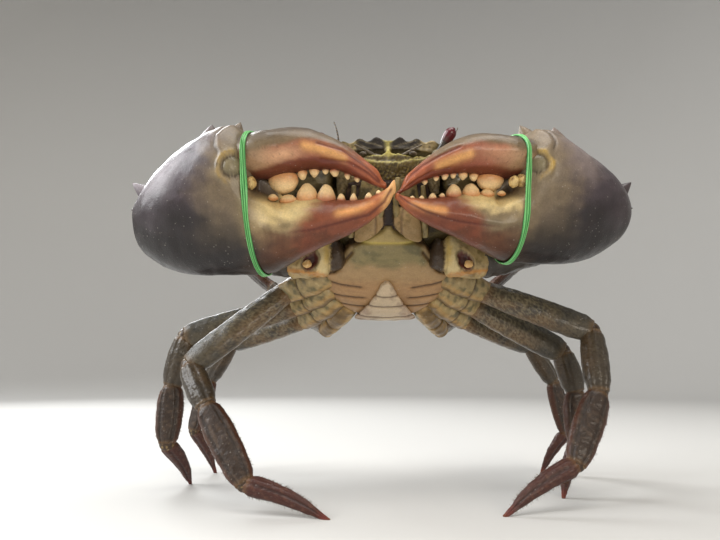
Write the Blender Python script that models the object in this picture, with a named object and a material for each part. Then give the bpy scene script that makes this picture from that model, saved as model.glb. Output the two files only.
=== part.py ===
"""A life-size mud crab, reared on the tips of its walking legs, with both claws folded in front and tied.

Sizes are millimetres in the constants and become metres when a mesh is made. The crab faces -Y.
Body points are (across, forward, up) in the crab's own body, which then is pitched up at the front.
"""

import math

import bmesh
import bpy
from mathutils import Matrix, Vector

MM = 0.001
GAP = 0.3

# Body, measured on the shell
SHELL_HALF_WIDTH = 85.0
SHELL_HALF_LENGTH = 62.0
DOME_HEIGHT = 25.0
SHELL_UNDERSIDE = -20.0
PITCH = math.radians(45.0)
BODY_Y = 34.9
BODY_Z = 173.4
SIDES = {"right": -1, "left": 1}
FLOOR_MIDDLE = (0.0, 44.6)

# Claws: where the tip of the fixed finger is, its reach along and up the claw, and the claw's turn
CLAWS = {
    "right": {"tip": (0.9, -34.0, 177.4), "reach": (150.0, 9.4), "turn": math.radians(10)},
    "left": {"tip": (2.6, -31.5, 170.1), "reach": (146.0, 0.0), "turn": math.radians(15)},
}
CLAW_LEAN = math.radians(14.5)

# Joints of the walking legs, from the front pair back: root, knee, wrist, ankle and tip
WALKING_LEGS = {
    "right": [
        [(-66, 46, 128), (-124, 30, 78.5), (-108, 14, 55.5), (-79, -6, 15.2), (-32, -18, -1)],
        [(-62, 60, 120), (-136, 56, 98), (-143, 56, 66), (-142, 50, 29), (-132, 74, -1)],
        [(-56, 70, 112), (-114, 98, 97), (-131, 105, 70), (-141, 104, 32), (-126, 116, -1)],
    ],
    "left": [
        [(66, 46, 128), (131, 32, 100.5), (126.5, 18, 63), (103.5, 2, 24), (58, -12, -1)],
        [(62, 60, 120), (121, 58, 88), (128, 58, 62), (124, 50, 28), (105, 30, -1)],
        [(56, 70, 112), (112, 100, 95), (130, 106, 68), (138, 108, 30), (120, 116, -1)],
    ],
}
SWIMMING_LEG = [(41, 83, 107), (64, 101, 122), (86, 109, 140), (110, 117, 158), (140, 129, 178)]
LEG_SCALES = (1.0, 1.0, 0.92)


def clear_scene():
    for thing in list(bpy.data.objects):
        bpy.data.objects.remove(thing)


def new_collection(name, hidden=False):
    made = bpy.data.collections.new(name)
    bpy.context.scene.collection.children.link(made)
    made.hide_render = hidden
    return made


def as_cutter(made):
    """Moves an object among the hidden cutting shapes."""
    for home in list(made.users_collection):
        home.objects.unlink(made)
    CUTTERS.objects.link(made)
    made.display_type = "WIRE"


def material(name, colour, roughness):
    made = bpy.data.materials.new(name)
    made.use_nodes = True
    shader = made.node_tree.nodes["Principled BSDF"]
    shader.inputs["Base Color"].default_value = (*colour, 1.0)
    shader.inputs["Roughness"].default_value = roughness
    shader.inputs["Metallic"].default_value = 0.0
    made.diffuse_color = (*colour, 1.0)
    return made


clear_scene()
CRAB = new_collection("mud_crab")
CUTTERS = new_collection("cutters", hidden=True)
SHELL = material("shell", (0.10, 0.095, 0.06), 0.45)
CLAW_SHELL = material("claw_shell", (0.16, 0.12, 0.11), 0.32)
FINGER_SHELL = material("finger_shell", (0.36, 0.15, 0.09), 0.35)
BELLY = material("belly_shell", (0.42, 0.36, 0.24), 0.5)
LEG_SHELL = material("leg_shell", (0.15, 0.13, 0.09), 0.42)
FOOT_SHELL = material("foot_shell", (0.14, 0.055, 0.035), 0.5)
EYE = material("eye", (0.05, 0.02, 0.02), 0.12)
TWINE = material("twine", (0.12, 0.50, 0.13), 0.4)


def body_point(across, forward, up):
    """A place in the crab's own body, moved to where the pitched body holds it."""
    return Vector(
        (
            across,
            BODY_Y - forward * math.cos(PITCH) + up * math.sin(PITCH),
            BODY_Z + forward * math.sin(PITCH) + up * math.cos(PITCH),
        )
    )


def between(stations, t):
    """Values at t on a smooth curve through stations, each (t, value, value, ...)."""
    if t <= stations[0][0]:
        return list(stations[0][1:])
    for i in range(len(stations) - 1):
        low, high = stations[i], stations[i + 1]
        if t <= high[0]:
            before = stations[i - 1] if i else low
            after = stations[i + 2] if i + 2 < len(stations) else high
            span = high[0] - low[0]
            s = (t - low[0]) / span
            found = []
            for a, b, c, d in zip(before[1:], low[1:], high[1:], after[1:]):
                rise_in = (c - a) / max(high[0] - before[0], 1e-6) * span
                rise_out = (d - b) / max(after[0] - low[0], 1e-6) * span
                if (c - b) * (b - a) <= 0:
                    rise_in = 0.0
                if (d - c) * (c - b) <= 0:
                    rise_out = 0.0
                found.append(
                    b * (2 * s**3 - 3 * s**2 + 1)
                    + rise_in * (s**3 - 2 * s**2 + s)
                    + c * (3 * s**2 - 2 * s**3)
                    + rise_out * (s**3 - s**2)
                )
            return found
    return list(stations[-1][1:])


def finished(mesh_data, name, look):
    """An object in metres from a bmesh in millimetres, with its faces pointing out."""
    bmesh.ops.recalc_face_normals(mesh_data, faces=mesh_data.faces)
    if mesh_data.calc_volume(signed=True) < 0:
        bmesh.ops.reverse_faces(mesh_data, faces=mesh_data.faces)
    bmesh.ops.scale(mesh_data, vec=(MM, MM, MM), verts=mesh_data.verts)
    mesh = bpy.data.meshes.new(name)
    mesh_data.to_mesh(mesh)
    mesh_data.free()
    made = bpy.data.objects.new(name, mesh)
    made.data.materials.append(look)
    CRAB.objects.link(made)
    return made


def loft(name, rings, look):
    """A closed body through rings of points; a ring of one point closes an end as a tip."""
    shape = bmesh.new()
    rows = [[shape.verts.new(point) for point in ring] for ring in rings]
    for low, high in zip(rows, rows[1:]):
        count = max(len(low), len(high))
        for i in range(count):
            j = (i + 1) % count
            if len(low) == 1:
                shape.faces.new((low[0], high[i], high[j]))
            elif len(high) == 1:
                shape.faces.new((low[i], low[j], high[0]))
            else:
                shape.faces.new((low[i], low[j], high[j], high[i]))
    for row in (rows[0], rows[-1]):
        if len(row) > 2:
            shape.faces.new(row)
    return finished(shape, name, look)


def oval(half_broad, half_thin, sides, power=2.0):
    """Corners of a flattened round, as (broad, thin) pairs; a power over 2 squares it."""
    found = []
    for i in range(sides):
        angle = 2 * math.pi * (i + 0.5) / sides
        c, s = math.cos(angle), math.sin(angle)
        found.append(
            (
                half_broad * math.copysign(abs(c) ** (2 / power), c),
                half_thin * math.copysign(abs(s) ** (2 / power), s),
            )
        )
    return found


def frame_along(direction, broad):
    """Unit vectors along a limb, across its broad side and through its thin one."""
    along = Vector(direction).normalized()
    wide = (Vector(broad) - along * along.dot(Vector(broad))).normalized()
    return along, wide, along.cross(wide)


def limb(name, start, end, broad, stations, look, sides=8, steps=6, bow=0.0):
    """A limb's hard tube from start to end. Stations are (share of length, half broad, half thin)."""
    start, end = Vector(start), Vector(end)
    along, wide, thin = frame_along(end - start, broad)
    length = (end - start).length
    rings = []
    for k in range(steps + 1):
        first, last = stations[0][0], stations[-1][0]
        t = first + (last - first) * k / steps
        half_broad, half_thin = between(stations, t)
        centre = start + along * (t * length) + wide * (bow * math.sin(math.pi * min(max(t, 0), 1)))
        rings.append(
            [centre + wide * b + thin * h for b, h in oval(half_broad, half_thin, sides, 2.3)]
        )
    return loft(name, rings, look)


def cut_flat(made, point, keep):
    """Cuts a body at a plane and closes the cut; keep points to the side that stays."""
    shape = bmesh.new()
    shape.from_mesh(made.data)
    cut = bmesh.ops.bisect_plane(
        shape,
        geom=list(shape.verts) + list(shape.edges) + list(shape.faces),
        plane_co=Vector(point) * MM,
        plane_no=-Vector(keep).normalized(),
        clear_outer=True,
    )["geom_cut"]
    edges = [thing for thing in cut if isinstance(thing, bmesh.types.BMEdge)]
    if edges:
        bmesh.ops.triangle_fill(shape, edges=edges, use_beauty=True)
    bmesh.ops.recalc_face_normals(shape, faces=shape.faces)
    if shape.calc_volume(signed=True) < 0:
        bmesh.ops.reverse_faces(shape, faces=shape.faces)
    shape.to_mesh(made.data)
    shape.free()


def keep_largest(made):
    """Drops all but the largest closed surface of a body."""
    shape = bmesh.new()
    shape.from_mesh(made.data)
    shape.faces.ensure_lookup_table()
    seen, groups = set(), []
    for face in shape.faces:
        if face in seen:
            continue
        group, waiting = [], [face]
        seen.add(face)
        while waiting:
            one = waiting.pop()
            group.append(one)
            for edge in one.edges:
                for other in edge.link_faces:
                    if other not in seen:
                        seen.add(other)
                        waiting.append(other)
        groups.append(group)
    if len(groups) > 1:
        groups.sort(key=lambda group: sum(face.calc_area() for face in group))
        loose = [face for group in groups[:-1] for face in group]
        bmesh.ops.delete(shape, geom=loose, context="FACES")
        shape.to_mesh(made.data)
    shape.free()


def apply_boolean(made, operation, other=None, group=None, solver="EXACT"):
    cut = made.modifiers.new("cut", "BOOLEAN")
    cut.operation = operation
    cut.solver = solver
    if group:
        cut.operand_type = "COLLECTION"
        cut.collection = group
    else:
        cut.object = other
    bpy.context.view_layer.update()
    graph = bpy.context.evaluated_depsgraph_get()
    result = bpy.data.meshes.new_from_object(made.evaluated_get(graph))
    made.modifiers.remove(cut)
    made.data = result


def fuse(made, pieces):
    """Joins closed pieces to a body as one closed surface."""
    group = new_collection("pieces")
    for piece in pieces:
        for home in list(piece.users_collection):
            home.objects.unlink(piece)
        group.objects.link(piece)
    apply_boolean(made, "UNION", group=group)
    for piece in list(group.objects):
        bpy.data.objects.remove(piece)
    bpy.data.collections.remove(group)
    keep_largest(made)


def clear_of(made, neighbours, gap=GAP):
    """Cuts a body back so that it meets its neighbours with an even gap."""
    for neighbour in neighbours:
        swollen = bpy.data.objects.new("swollen", neighbour.data.copy())
        as_cutter(swollen)
        shape = bmesh.new()
        shape.from_mesh(swollen.data)
        shape.normal_update()
        moves = [vert.normal * (gap * MM * min(vert.calc_shell_factor(), 2.0)) for vert in shape.verts]
        for vert, move in zip(shape.verts, moves):
            vert.co += move
        shape.to_mesh(swollen.data)
        shape.free()
        apply_boolean(made, "DIFFERENCE", other=swollen, solver="MANIFOLD")
        bpy.data.objects.remove(swollen)
    keep_largest(made)


def ball(name, centre, radii, look, turn=None, sides=8, rings=6):
    """A rounded lump with its own half sizes, turned if asked."""
    shape = bmesh.new()
    bmesh.ops.create_uvsphere(shape, u_segments=sides, v_segments=rings, radius=1.0)
    place = Matrix.Translation(Vector(centre)) @ (turn.to_4x4() if turn else Matrix.Identity(4))
    place = place @ Matrix.Diagonal((*radii, 1.0))
    bmesh.ops.transform(shape, matrix=place, verts=shape.verts)
    return finished(shape, name, look)


def spike(name, root, tip, radius, look, sides=6):
    """A short spine from its root to its tip."""
    root, tip = Vector(root), Vector(tip)
    shape = bmesh.new()
    bmesh.ops.create_cone(
        shape, cap_ends=True, segments=sides, radius1=radius, radius2=0.25, depth=(tip - root).length
    )
    turn = (tip - root).to_track_quat("Z", "Y").to_matrix().to_4x4()
    place = Matrix.Translation((root + tip) / 2) @ turn
    bmesh.ops.transform(shape, matrix=place, verts=shape.verts)
    return finished(shape, name, look)


# Carapace: the back shell, with blunt teeth between the eyes and nine sharp ones down each side
FRONT_LEVEL = 57.4
FRONT_TEETH = ((0.6, 3.1), (10.4, 2.9), (20.4, 2.6))
FRONT_TOOTH_WIDTH = 9.8
ORBIT = [(32, 54), (37, 50), (43, 48), (50, 48.5)]
SIDE_BEND = ((56, 50), (80, 39), (SHELL_HALF_WIDTH, 4))
REAR_BEND = ((SHELL_HALF_WIDTH - 1, 0), (74, -34), (36, -58))
SIDE_TEETH = 9
TOOTH_LENGTH = 7.0
TOOTH_SHAPE = ((0.0, 0.0), (0.3, 1.0), (0.58, 0.6), (0.84, 0.26))
TAIL_EDGE = [(30, -61), (16, -62), (0, -62.5)]
DORSAL_RINGS = (0.0, 0.28, 0.5, 0.68, 0.82, 0.92)


def bend(points, t):
    """A point on the curve that three points pull on."""
    (x0, y0), (x1, y1), (x2, y2) = points
    a, b, c = (1 - t) ** 2, 2 * t * (1 - t), t * t
    return a * x0 + b * x1 + c * x2, a * y0 + b * y1 + c * y2


def shell_half_outline():
    """The right half of the shell's edge as pairs: the smooth edge, and the edge with its teeth."""
    found = [((0, FRONT_LEVEL), (0, FRONT_LEVEL))]
    for start, height in FRONT_TEETH:
        for share, rise in ((0.08, 0.0), (0.3, 0.85), (0.66, 1.0), (0.92, 0.15)):
            x = start + share * FRONT_TOOTH_WIDTH
            f = FRONT_LEVEL - 0.003 * x * x
            found.append(((x, f), (x, f + rise * height)))
    found += [(point, point) for point in ORBIT]
    for k in range(SIDE_TEETH):
        for share, length in TOOTH_SHAPE:
            t = (k + share) / SIDE_TEETH
            x, f = bend(SIDE_BEND, t)
            x_on, f_on = bend(SIDE_BEND, t + 0.02)
            out = Vector((f - f_on, x_on - x)).normalized()
            lean = Vector((out.x, out.y + 0.45)).normalized() * (TOOTH_LENGTH * length)
            found.append(((x, f), (x + lean.x, f + lean.y)))
    for k in range(7):
        point = bend(REAR_BEND, k / 6)
        found.append((point, point))
    return found + [(point, point) for point in TAIL_EDGE]


def shell_outline():
    half = shell_half_outline()
    mirror = [((-a[0], a[1]), (-b[0], b[1])) for a, b in reversed(half[1:-1])]
    return half + mirror


def edge_level(forward):
    """How high the shell's edge runs: a little lower at the front and the tail."""
    return -3.0 * (forward / SHELL_HALF_LENGTH) ** 2


def shell_ring(share, up_of):
    """The shell's smooth edge drawn in by a share, at the level that up_of gives."""
    return [body_point(x * share, f * share, up_of(share, f)) for (x, f), _ in shell_outline()]


def make_carapace():
    def dome(share, forward):
        return edge_level(forward) * share + DOME_HEIGHT * (1 - share**2.5)

    rings = [[body_point(0, 0, DOME_HEIGHT)]]
    rings += [shell_ring(share, dome) for share in DORSAL_RINGS[1:]]
    rings.append([body_point(x, f, edge_level(f)) for _, (x, f) in shell_outline()])
    for share, up in ((0.955, -4.0), (0.86, -12.5), (0.74, SHELL_UNDERSIDE)):
        rings.append(shell_ring(share, lambda _, f, up=up: up))
    return loft("carapace", rings, SHELL)


def cut_face_notch(carapace):
    """Takes out the hollow under the front edge, where the mouth and the feelers are."""
    rings = []
    for f, low in ((30, -30), (60, -30)):
        rings.append(
            [
                body_point(-33, f, low),
                body_point(33, f, low),
                body_point(33, f, -7.5 if f < 50 else -5.5),
                body_point(-33, f, -7.5 if f < 50 else -5.5),
            ]
        )
    cutter = loft("face_notch", rings, SHELL)
    as_cutter(cutter)
    apply_boolean(carapace, "DIFFERENCE", other=cutter)
    keep_largest(carapace)
    bpy.data.objects.remove(cutter)


# Sternum: the pale breastplate, and the floor of the mouth in front of it
STERNUM_STATIONS = [
    (-57, 15, -30), (-52, 24, -33), (-46, 30, -35), (-40, 35, -36.5), (-34, 39.5, -37.5),
    (-27, 42, -38), (-21, 43, -38), (-17, 41, -38), (-14.5, 33.5, -38), (-10, 30.5, -38),
    (-3, 26, -38), (3, 21.5, -37.5), (5, 18.5, -37.2), (9, 11.5, -36.5), (14, 3, -35),
]
MOUTH_STATIONS = [(38, 24, -22.5), (30, 26, -26), (20, 26, -30), (6, 26, -32)]


def plate(name, stations, top, look, sides=12):
    """A plate under the body through stations (forward, half width, lowest level)."""
    rings = []
    for f, half_width, low in stations:
        middle, half = (top + low) / 2, (top - low) / 2
        rings.append(
            [body_point(x, f, middle + u) for x, u in oval(half_width, half, sides, 3.2)]
        )
    return loft(name, rings, look)


def make_sternum(carapace):
    sternum = plate("sternum", STERNUM_STATIONS, SHELL_UNDERSIDE + 1.5, BELLY, 14)
    floor = plate("mouth_floor", MOUTH_STATIONS, SHELL_UNDERSIDE + 1.5, BELLY, 10)
    fuse(sternum, [floor])
    clear_of(sternum, [carapace])
    return sternum


# Abdomen: the male's narrow flap, folded forward under the tail
ABDOMEN_STATIONS = [
    (-22, -39.5, 1.6), (-24.5, -39.7, 4.0), (-30, -39.8, 6.5), (-36, -39.2, 9.5), (-42, -38.0, 13.0),
    (-48, -36.0, 16.5), (-54, -33.0, 20.0), (-58.5, -28.5, 20.5), (-61.0, -23.0, 19.5), (-61.5, -18.0, 18.0),
]
ABDOMEN_HALF_THICKNESS = 2.2


def make_abdomen(neighbours):
    rings = []
    for i, (f, up, half_width) in enumerate(ABDOMEN_STATIONS):
        near = ABDOMEN_STATIONS[max(i - 1, 0)]
        far = ABDOMEN_STATIONS[min(i + 1, len(ABDOMEN_STATIONS) - 1)]
        along = Vector((far[0] - near[0], far[1] - near[1])).normalized()
        rings.append(
            [
                body_point(x, f - along.y * h, up + along.x * h)
                for x, h in oval(half_width, ABDOMEN_HALF_THICKNESS, 10, 3.0)
            ]
        )
    abdomen = loft("abdomen", rings, BELLY)
    clear_of(abdomen, neighbours)
    return abdomen


# Mouth: two long plates close it, under the epistome, whose ridges part the feelers' hollows
MAXILLIPED_STATIONS = [(0.0, 6.5, 2.6), (0.15, 8.6, 3.2), (0.5, 9.2, 3.4), (0.8, 8.2, 3.2), (1.0, 6.0, 2.4)]
MAXILLIPED_LOW = (11.5, 8, -35)
MAXILLIPED_HIGH = (10.5, 43, -20)


def make_maxilliped(side, neighbours):
    sign = SIDES[side]
    low = body_point(sign * MAXILLIPED_LOW[0], *MAXILLIPED_LOW[1:])
    high = body_point(sign * MAXILLIPED_HIGH[0], *MAXILLIPED_HIGH[1:])
    made = limb(
        side + "_maxilliped", low, high, (1, 0, 0), MAXILLIPED_STATIONS, BELLY, sides=10, steps=6
    )
    clear_of(made, neighbours, GAP * 1.5)
    return made


def make_epistome(neighbours):
    """The ridged bar between the front edge and the mouth, with the post that parts the feelers."""
    profile = [(30, -6.5), (46, -6.5), (50.5, -8.5), (51.5, -13.5), (48, -17.5), (38, -19.5), (30, -19.5)]
    rings = []
    for x in (-31, -22, -10, 10, 22, 31):
        ease = 1.0 - 0.12 * (x / 31.0) ** 2
        rings.append([body_point(x, 30 + (f - 30) * ease, up) for f, up in profile])
    made = loft("epistome", rings, BELLY)
    post = limb(
        "post", body_point(0, 52.5, -5.8), body_point(0, 49.5, -16), (1, 0, 0),
        [(0.0, 2.6, 2.4), (0.5, 1.6, 2.4), (1.0, 3.4, 2.4)], BELLY, sides=8, steps=4,
    )
    ridge = limb(
        "ridge", body_point(-24, 50, -15.5), body_point(24, 50, -15.5), (0, 0, 1),
        [(0.0, 1.2, 1.6), (0.5, 1.8, 2.6), (1.0, 1.2, 1.6)], BELLY, sides=8, steps=6,
    )
    fuse(made, [post, ridge])
    clear_of(made, neighbours)
    return made


# Eyes on short raised stalks, and two pairs of feelers
EYE_ROOT = (29.5, 51.0, -8.0)
EYE_REACH = {"right": (12.0, -5.0, 9.0), "left": (8.0, -5.0, 14.5)}


def make_eye(side, neighbours):
    sign = SIDES[side]
    root = body_point(sign * EYE_ROOT[0], *EYE_ROOT[1:])
    reach = EYE_REACH[side]
    tip = root + Vector((sign * reach[0], reach[1], reach[2]))
    made = limb(
        side + "_eye", root, tip, (0, 1, 0),
        [(0.0, 2.4, 2.4), (0.45, 2.3, 2.3), (0.7, 3.0, 3.0), (0.9, 3.6, 3.6), (1.0, 2.8, 2.8)],
        EYE, sides=10, steps=6,
    )
    middle = tip - (tip - root).normalized() * 1.2
    fuse(made, [ball("cornea", middle, (3.7, 3.7, 3.7), EYE, sides=10, rings=7)])
    clear_of(made, neighbours)
    return made


def feeler(name, points, thick, thin, look, neighbours):
    """A tapering feeler along a smooth line through its points."""
    line = bpy.data.curves.new(name, "CURVE")
    line.dimensions = "3D"
    line.bevel_depth = 1.0 * MM
    line.bevel_resolution = 1
    line.use_fill_caps = True
    route = line.splines.new("POLY")
    count = 9
    stations = [(i / (len(points) - 1), *point) for i, point in enumerate(points)]
    route.points.add(count)
    for i in range(count + 1):
        t = i / count
        route.points[i].co = (*(Vector(between(stations, t)) * MM), 1.0)
        route.points[i].radius = thick + (thin - thick) * t
    curve = bpy.data.objects.new(name + "_line", line)
    CRAB.objects.link(curve)
    bpy.context.view_layer.update()
    graph = bpy.context.evaluated_depsgraph_get()
    mesh = bpy.data.meshes.new_from_object(curve.evaluated_get(graph))
    bpy.data.objects.remove(curve)
    shape = bmesh.new()
    shape.from_mesh(mesh)
    bmesh.ops.remove_doubles(shape, verts=shape.verts, dist=0.00001)
    bmesh.ops.scale(shape, vec=(1 / MM,) * 3, verts=shape.verts)
    made = finished(shape, name, look)
    clear_of(made, neighbours)
    return made


ANTENNA_REACH = {
    "right": [(0, 0, 0), (2, -6, 2), (3, -9, 8), (4, -10, 15), (6, -9, 22)],
    "left": [(0, 0, 0), (4, -5, 2), (9, -6, 8), (13, -4, 15), (16, -1, 22)],
}


def make_antenna(side, neighbours):
    sign = SIDES[side]
    root = body_point(sign * 26.5, 47, -11)
    points = [root + Vector((sign * x, y, z)) for x, y, z in ANTENNA_REACH[side]]
    return feeler(side + "_antenna", points, 1.5, 0.3, SHELL, neighbours)


def make_antennule(side, neighbours):
    sign = SIDES[side]
    root = body_point(sign * 4.5, 49, -11.5)
    reach = [
        (0, 2, 0), (2.5, -2.0, 0.5), (8, -2.6, 0.8), (13, -3.4, 2.2), (14.5, -5.2, 5.0), (12, -6.0, 7.5),
    ]
    points = [root + Vector((sign * x, y, z)) for x, y, z in reach]
    return feeler(side + "_antennule", points, 1.4, 0.4, SHELL, neighbours)


# Claws, drawn along their length with the movable finger above: (along, high edge, low edge, half thick)
PALM_STATIONS = {
    "right": [
        (-1.2, -3.5, -10.5, 6), (0.4, 0.6, -20.0, 11), (4, 5.0, -30.0, 16), (10, 13.4, -35.8, 19.5),
        (18, 21.0, -40.0, 22.5), (28, 28.8, -42.6, 24.8), (38, 34.6, -43.6, 25.4), (48, 39.4, -43.8, 25.5),
        (57, 41.4, -43.6, 25), (64, 39.0, -43.4, 24), (69, 31.0, -43.3, 23), (73, 21.0, -43.2, 22),
        (77, 13.0, -43.0, 20.5), (82, 7.0, -42.0, 19), (86.5, 2.2, -40.2, 18), (91, -0.8, -37.8, 17),
        (103, 0.4, -31.0, 14.6), (115, -0.4, -25.0, 12.0), (126, -1.6, -19.8, 9.4), (135, -1.0, -14.6, 7.0),
        (142, 1.8, -9.0, 5.0), (147.5, 5.4, -3.8, 3.2), (151.2, 9.6, 2.2, 1.4),
    ],
    "left": [
        (-0.8, -5.0, -11.5, 6), (0.4, -1.0, -16.0, 11), (3, 4.6, -20.6, 15.5), (8, 10.0, -26.4, 19),
        (16, 17.6, -32.0, 22), (26, 24.4, -36.8, 23.5), (37, 30.8, -38.9, 24), (48, 36.6, -39.5, 24),
        (57, 39.0, -39.3, 23.5), (64, 37.4, -39.0, 22.5), (69, 30.0, -38.7, 21.5), (73, 21.0, -38.4, 20.5),
        (77, 13.0, -38.2, 19.5), (82, 7.0, -37.2, 18.5), (86.5, 3.0, -35.4, 17.4), (91, 0.8, -33.2, 16.4),
        (100, 1.0, -28.8, 14.2), (110, 0.6, -23.8, 12.0), (119, -1.0, -19.6, 9.8), (128, -2.4, -15.8, 7.6),
        (136, -2.2, -11.2, 5.4), (142, -1.4, -7.0, 3.6), (146.2, 0.4, -2.6, 1.4),
    ],
}
FINGER_STATIONS = {
    "right": [
        (56, 34.0, 20.0, 12), (62, 36.0, 13.0, 18), (70, 36.8, 10.6, 19.5), (80, 38.8, 11.2, 18.5),
        (92, 39.6, 13.6, 16), (104, 38.2, 16.0, 13.4), (115, 34.2, 16.0, 11), (125, 28.6, 13.2, 8.6),
        (134, 21.8, 9.6, 6.2), (141, 15.2, 6.0, 4.2), (145.6, 8.8, 4.6, 1.6),
    ],
    "left": [
        (56, 32.0, 20.0, 12), (62, 33.6, 13.0, 17), (70, 33.8, 10.2, 18.5), (80, 35.0, 10.0, 17.5),
        (92, 35.4, 11.6, 15), (104, 33.6, 12.8, 12.4), (114, 29.8, 12.0, 10), (124, 23.6, 9.8, 7.8),
        (133, 16.2, 6.2, 5.4), (139.5, 9.6, 2.2, 3.6), (144.2, 2.6, 0.0, 1.4),
    ],
}
# Blunt teeth on the biting edges: (along, level of the edge, half length, height)
PALM_TEETH = {
    "right": [
        (84, 0.0, 3.2, 2.4), (91.5, -1.4, 5.4, 3.8), (102, 0.0, 6.5, 8.4), (113, -0.6, 5.2, 8.6),
        (121.5, -1.0, 2.4, 3.6), (128.5, -1.6, 2.3, 4.4), (137, -0.4, 2.2, 3.4), (142.5, 1.8, 1.7, 2.2),
    ],
    "left": [
        (85.5, 1.0, 2.6, 1.8), (92, 0.8, 4.6, 3.4), (101.5, 0.8, 5.6, 6.4), (112, 0.2, 4.8, 6.4),
        (119, -0.9, 2.0, 2.4), (125, -2.0, 2.4, 3.2), (131.5, -2.4, 1.8, 2.0), (137, -2.0, 1.6, 1.6),
    ],
}
FINGER_TEETH = {
    "right": [
        (87.6, 11.8, 8.8, 9.0), (98.8, 14.8, 3.0, 4.4), (105.7, 16.2, 3.1, 4.4), (112, 16.3, 2.0, 3.0),
        (117.3, 15.6, 2.8, 3.8), (124.6, 13.4, 2.0, 3.0), (130, 11.4, 2.0, 2.6),
    ],
    "left": [
        (88.6, 10.4, 8.4, 7.4), (99, 12.2, 2.8, 3.6), (105.5, 12.8, 2.8, 3.8), (111.5, 12.4, 2.0, 2.8),
        (116.6, 11.8, 2.2, 3.0), (121.8, 10.4, 1.8, 2.4), (128.5, 8.2, 1.9, 2.6),
    ],
}
# Knobs and spines of the palm and the wrist: root, tip and radius at the root, all drawn on the claw
PALM_SPINES = {
    "right": [
        ((45, 33, 2), (46.8, 42.2, 3), 7.0), ((55, 34, -8), (59, 45.6, -9), 7.5),
        ((6, 4, 6), (-0.6, 9.5, 8), 4.5),
    ],
    "left": [
        ((47, 31, 2), (50, 40.6, 3), 7.0), ((59, 33, -8), (65, 43.2, -9), 7.5),
        ((5, 4, 6), (-0.6, 9.5, 8), 4.5),
    ],
}
WRIST_SPINES = {
    "right": [
        ((1, 4, -13), (-9.5, 9, -9), 5.5), ((0, -5, -13), (-12.3, -5, -8), 6.5),
        ((1, -14, -13), (-8, -19, -10), 5.0),
    ],
    "left": [
        ((1, 5, -13), (-11.5, 10, -9), 5.5), ((0, -4, -13), (-16.5, -5, -8), 6.5),
        ((1, -13, -13), (-9, -18, -10), 5.0),
    ],
}
# The pale round plate on which the movable finger turns, and the lug in front of it
HINGE_PLATE = {"right": (66, 19.0, 8.8), "left": (67, 16.8, 8.2)}
HINGE_LUG = {"right": (73.8, 8.0, 3.6), "left": (76.6, 8.4, 3.6)}
FINGERS_APART = 2.6


class Claw:
    """Places points drawn on a claw: along it, up it and out through its outer face."""

    def __init__(self, side):
        size = CLAWS[side]
        sign = -SIDES[side]
        turn = size["turn"]
        lean = Matrix.Rotation(CLAW_LEAN, 3, "X")
        self.along = lean @ Vector((sign * math.cos(turn), -math.sin(turn), 0))
        self.out = lean @ Vector((-sign * math.sin(turn), -math.cos(turn), 0))
        self.up = lean @ Vector((0, 0, 1))
        length, rise = size["reach"]
        self.length = length
        self.origin = Vector(size["tip"]) - self.along * length - self.up * rise

    def place(self, along, up, out):
        return self.origin + self.along * along + self.up * up + self.out * out

    def axes(self):
        return Matrix((self.along, self.out, self.up)).transposed()


def smooth_step(low, high, x):
    """A smooth rise from 0 at low to 1 at high; high may be the lower of the two."""
    t = min(max((x - low) / (high - low), 0), 1)
    return t * t * (3 - 2 * t)


def claw_rings(claw, stations, sides, out_shift, narrow_top, narrow_low, notch=0.0):
    """Sections of a claw piece, narrowed towards the edge that bites.

    The notch cuts the outer face back where the finger's root lies over it.
    """
    rings = []
    first, last = stations[0][0], stations[-1][0]
    for along, high, low, half_thick in stations:
        middle, half = (high + low) / 2, (high - low) / 2
        shift = out_shift * ((along - first) / (last - first)) ** 3
        bite = min(max((along - 66) / 20, 0), 1)
        ring = []
        for b, h in oval(1.0, 1.0, sides, 2.15):
            narrow = 1 - bite * (narrow_top * max(b, 0) + narrow_low * max(-b, 0))
            if h > 0:
                rise = middle + half * b + max(along - 74, 0) * 0.45
                over_root = smooth_step(61, 67, along) * smooth_step(91, 86, along)
                narrow *= 1 - notch * over_root * smooth_step(-1, 5, rise)
            ring.append(claw.place(along, middle + half * b, shift + half_thick * h * narrow))
        rings.append(ring)
    return rings


def teeth_on(claw, teeth, direction, shift):
    """Blunt teeth on a biting edge, each sunk in the finger that carries it."""
    made = []
    for along, level, half_length, height in teeth:
        out = shift * (along / 150) ** 3
        if direction > 0:
            out += 6.5 * smooth_step(95, 85, along)
        centre = claw.place(along, level + direction * height * 0.18, out)
        radii = (half_length, min(half_length * 0.95, 5.6), height * 0.82)
        made.append(ball("tooth", centre, radii, FINGER_SHELL, claw.axes(), sides=7, rings=5))
    return made


def make_palm(side):
    claw = Claw(side)
    rings = claw_rings(claw, PALM_STATIONS[side], 16, FINGERS_APART, 0.34, 0.1, 0.8)
    palm = loft(side + "_palm", rings, CLAW_SHELL)
    added = teeth_on(claw, PALM_TEETH[side], 1, FINGERS_APART)
    for root, tip, radius in PALM_SPINES[side]:
        added.append(spike("spine", claw.place(*root), claw.place(*tip), radius, CLAW_SHELL))
    along, up, radius = HINGE_PLATE[side]
    radii = (radius, 7.0, radius)
    added.append(ball("plate", claw.place(along, up, 15.5), radii, CLAW_SHELL, claw.axes(), 12, 8))
    along, up, radius = HINGE_LUG[side]
    radii = (radius * 0.8, 6.0, radius)
    added.append(ball("lug", claw.place(along, up, 11.0), radii, CLAW_SHELL, claw.axes()))
    fuse(palm, added)
    return palm


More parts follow.
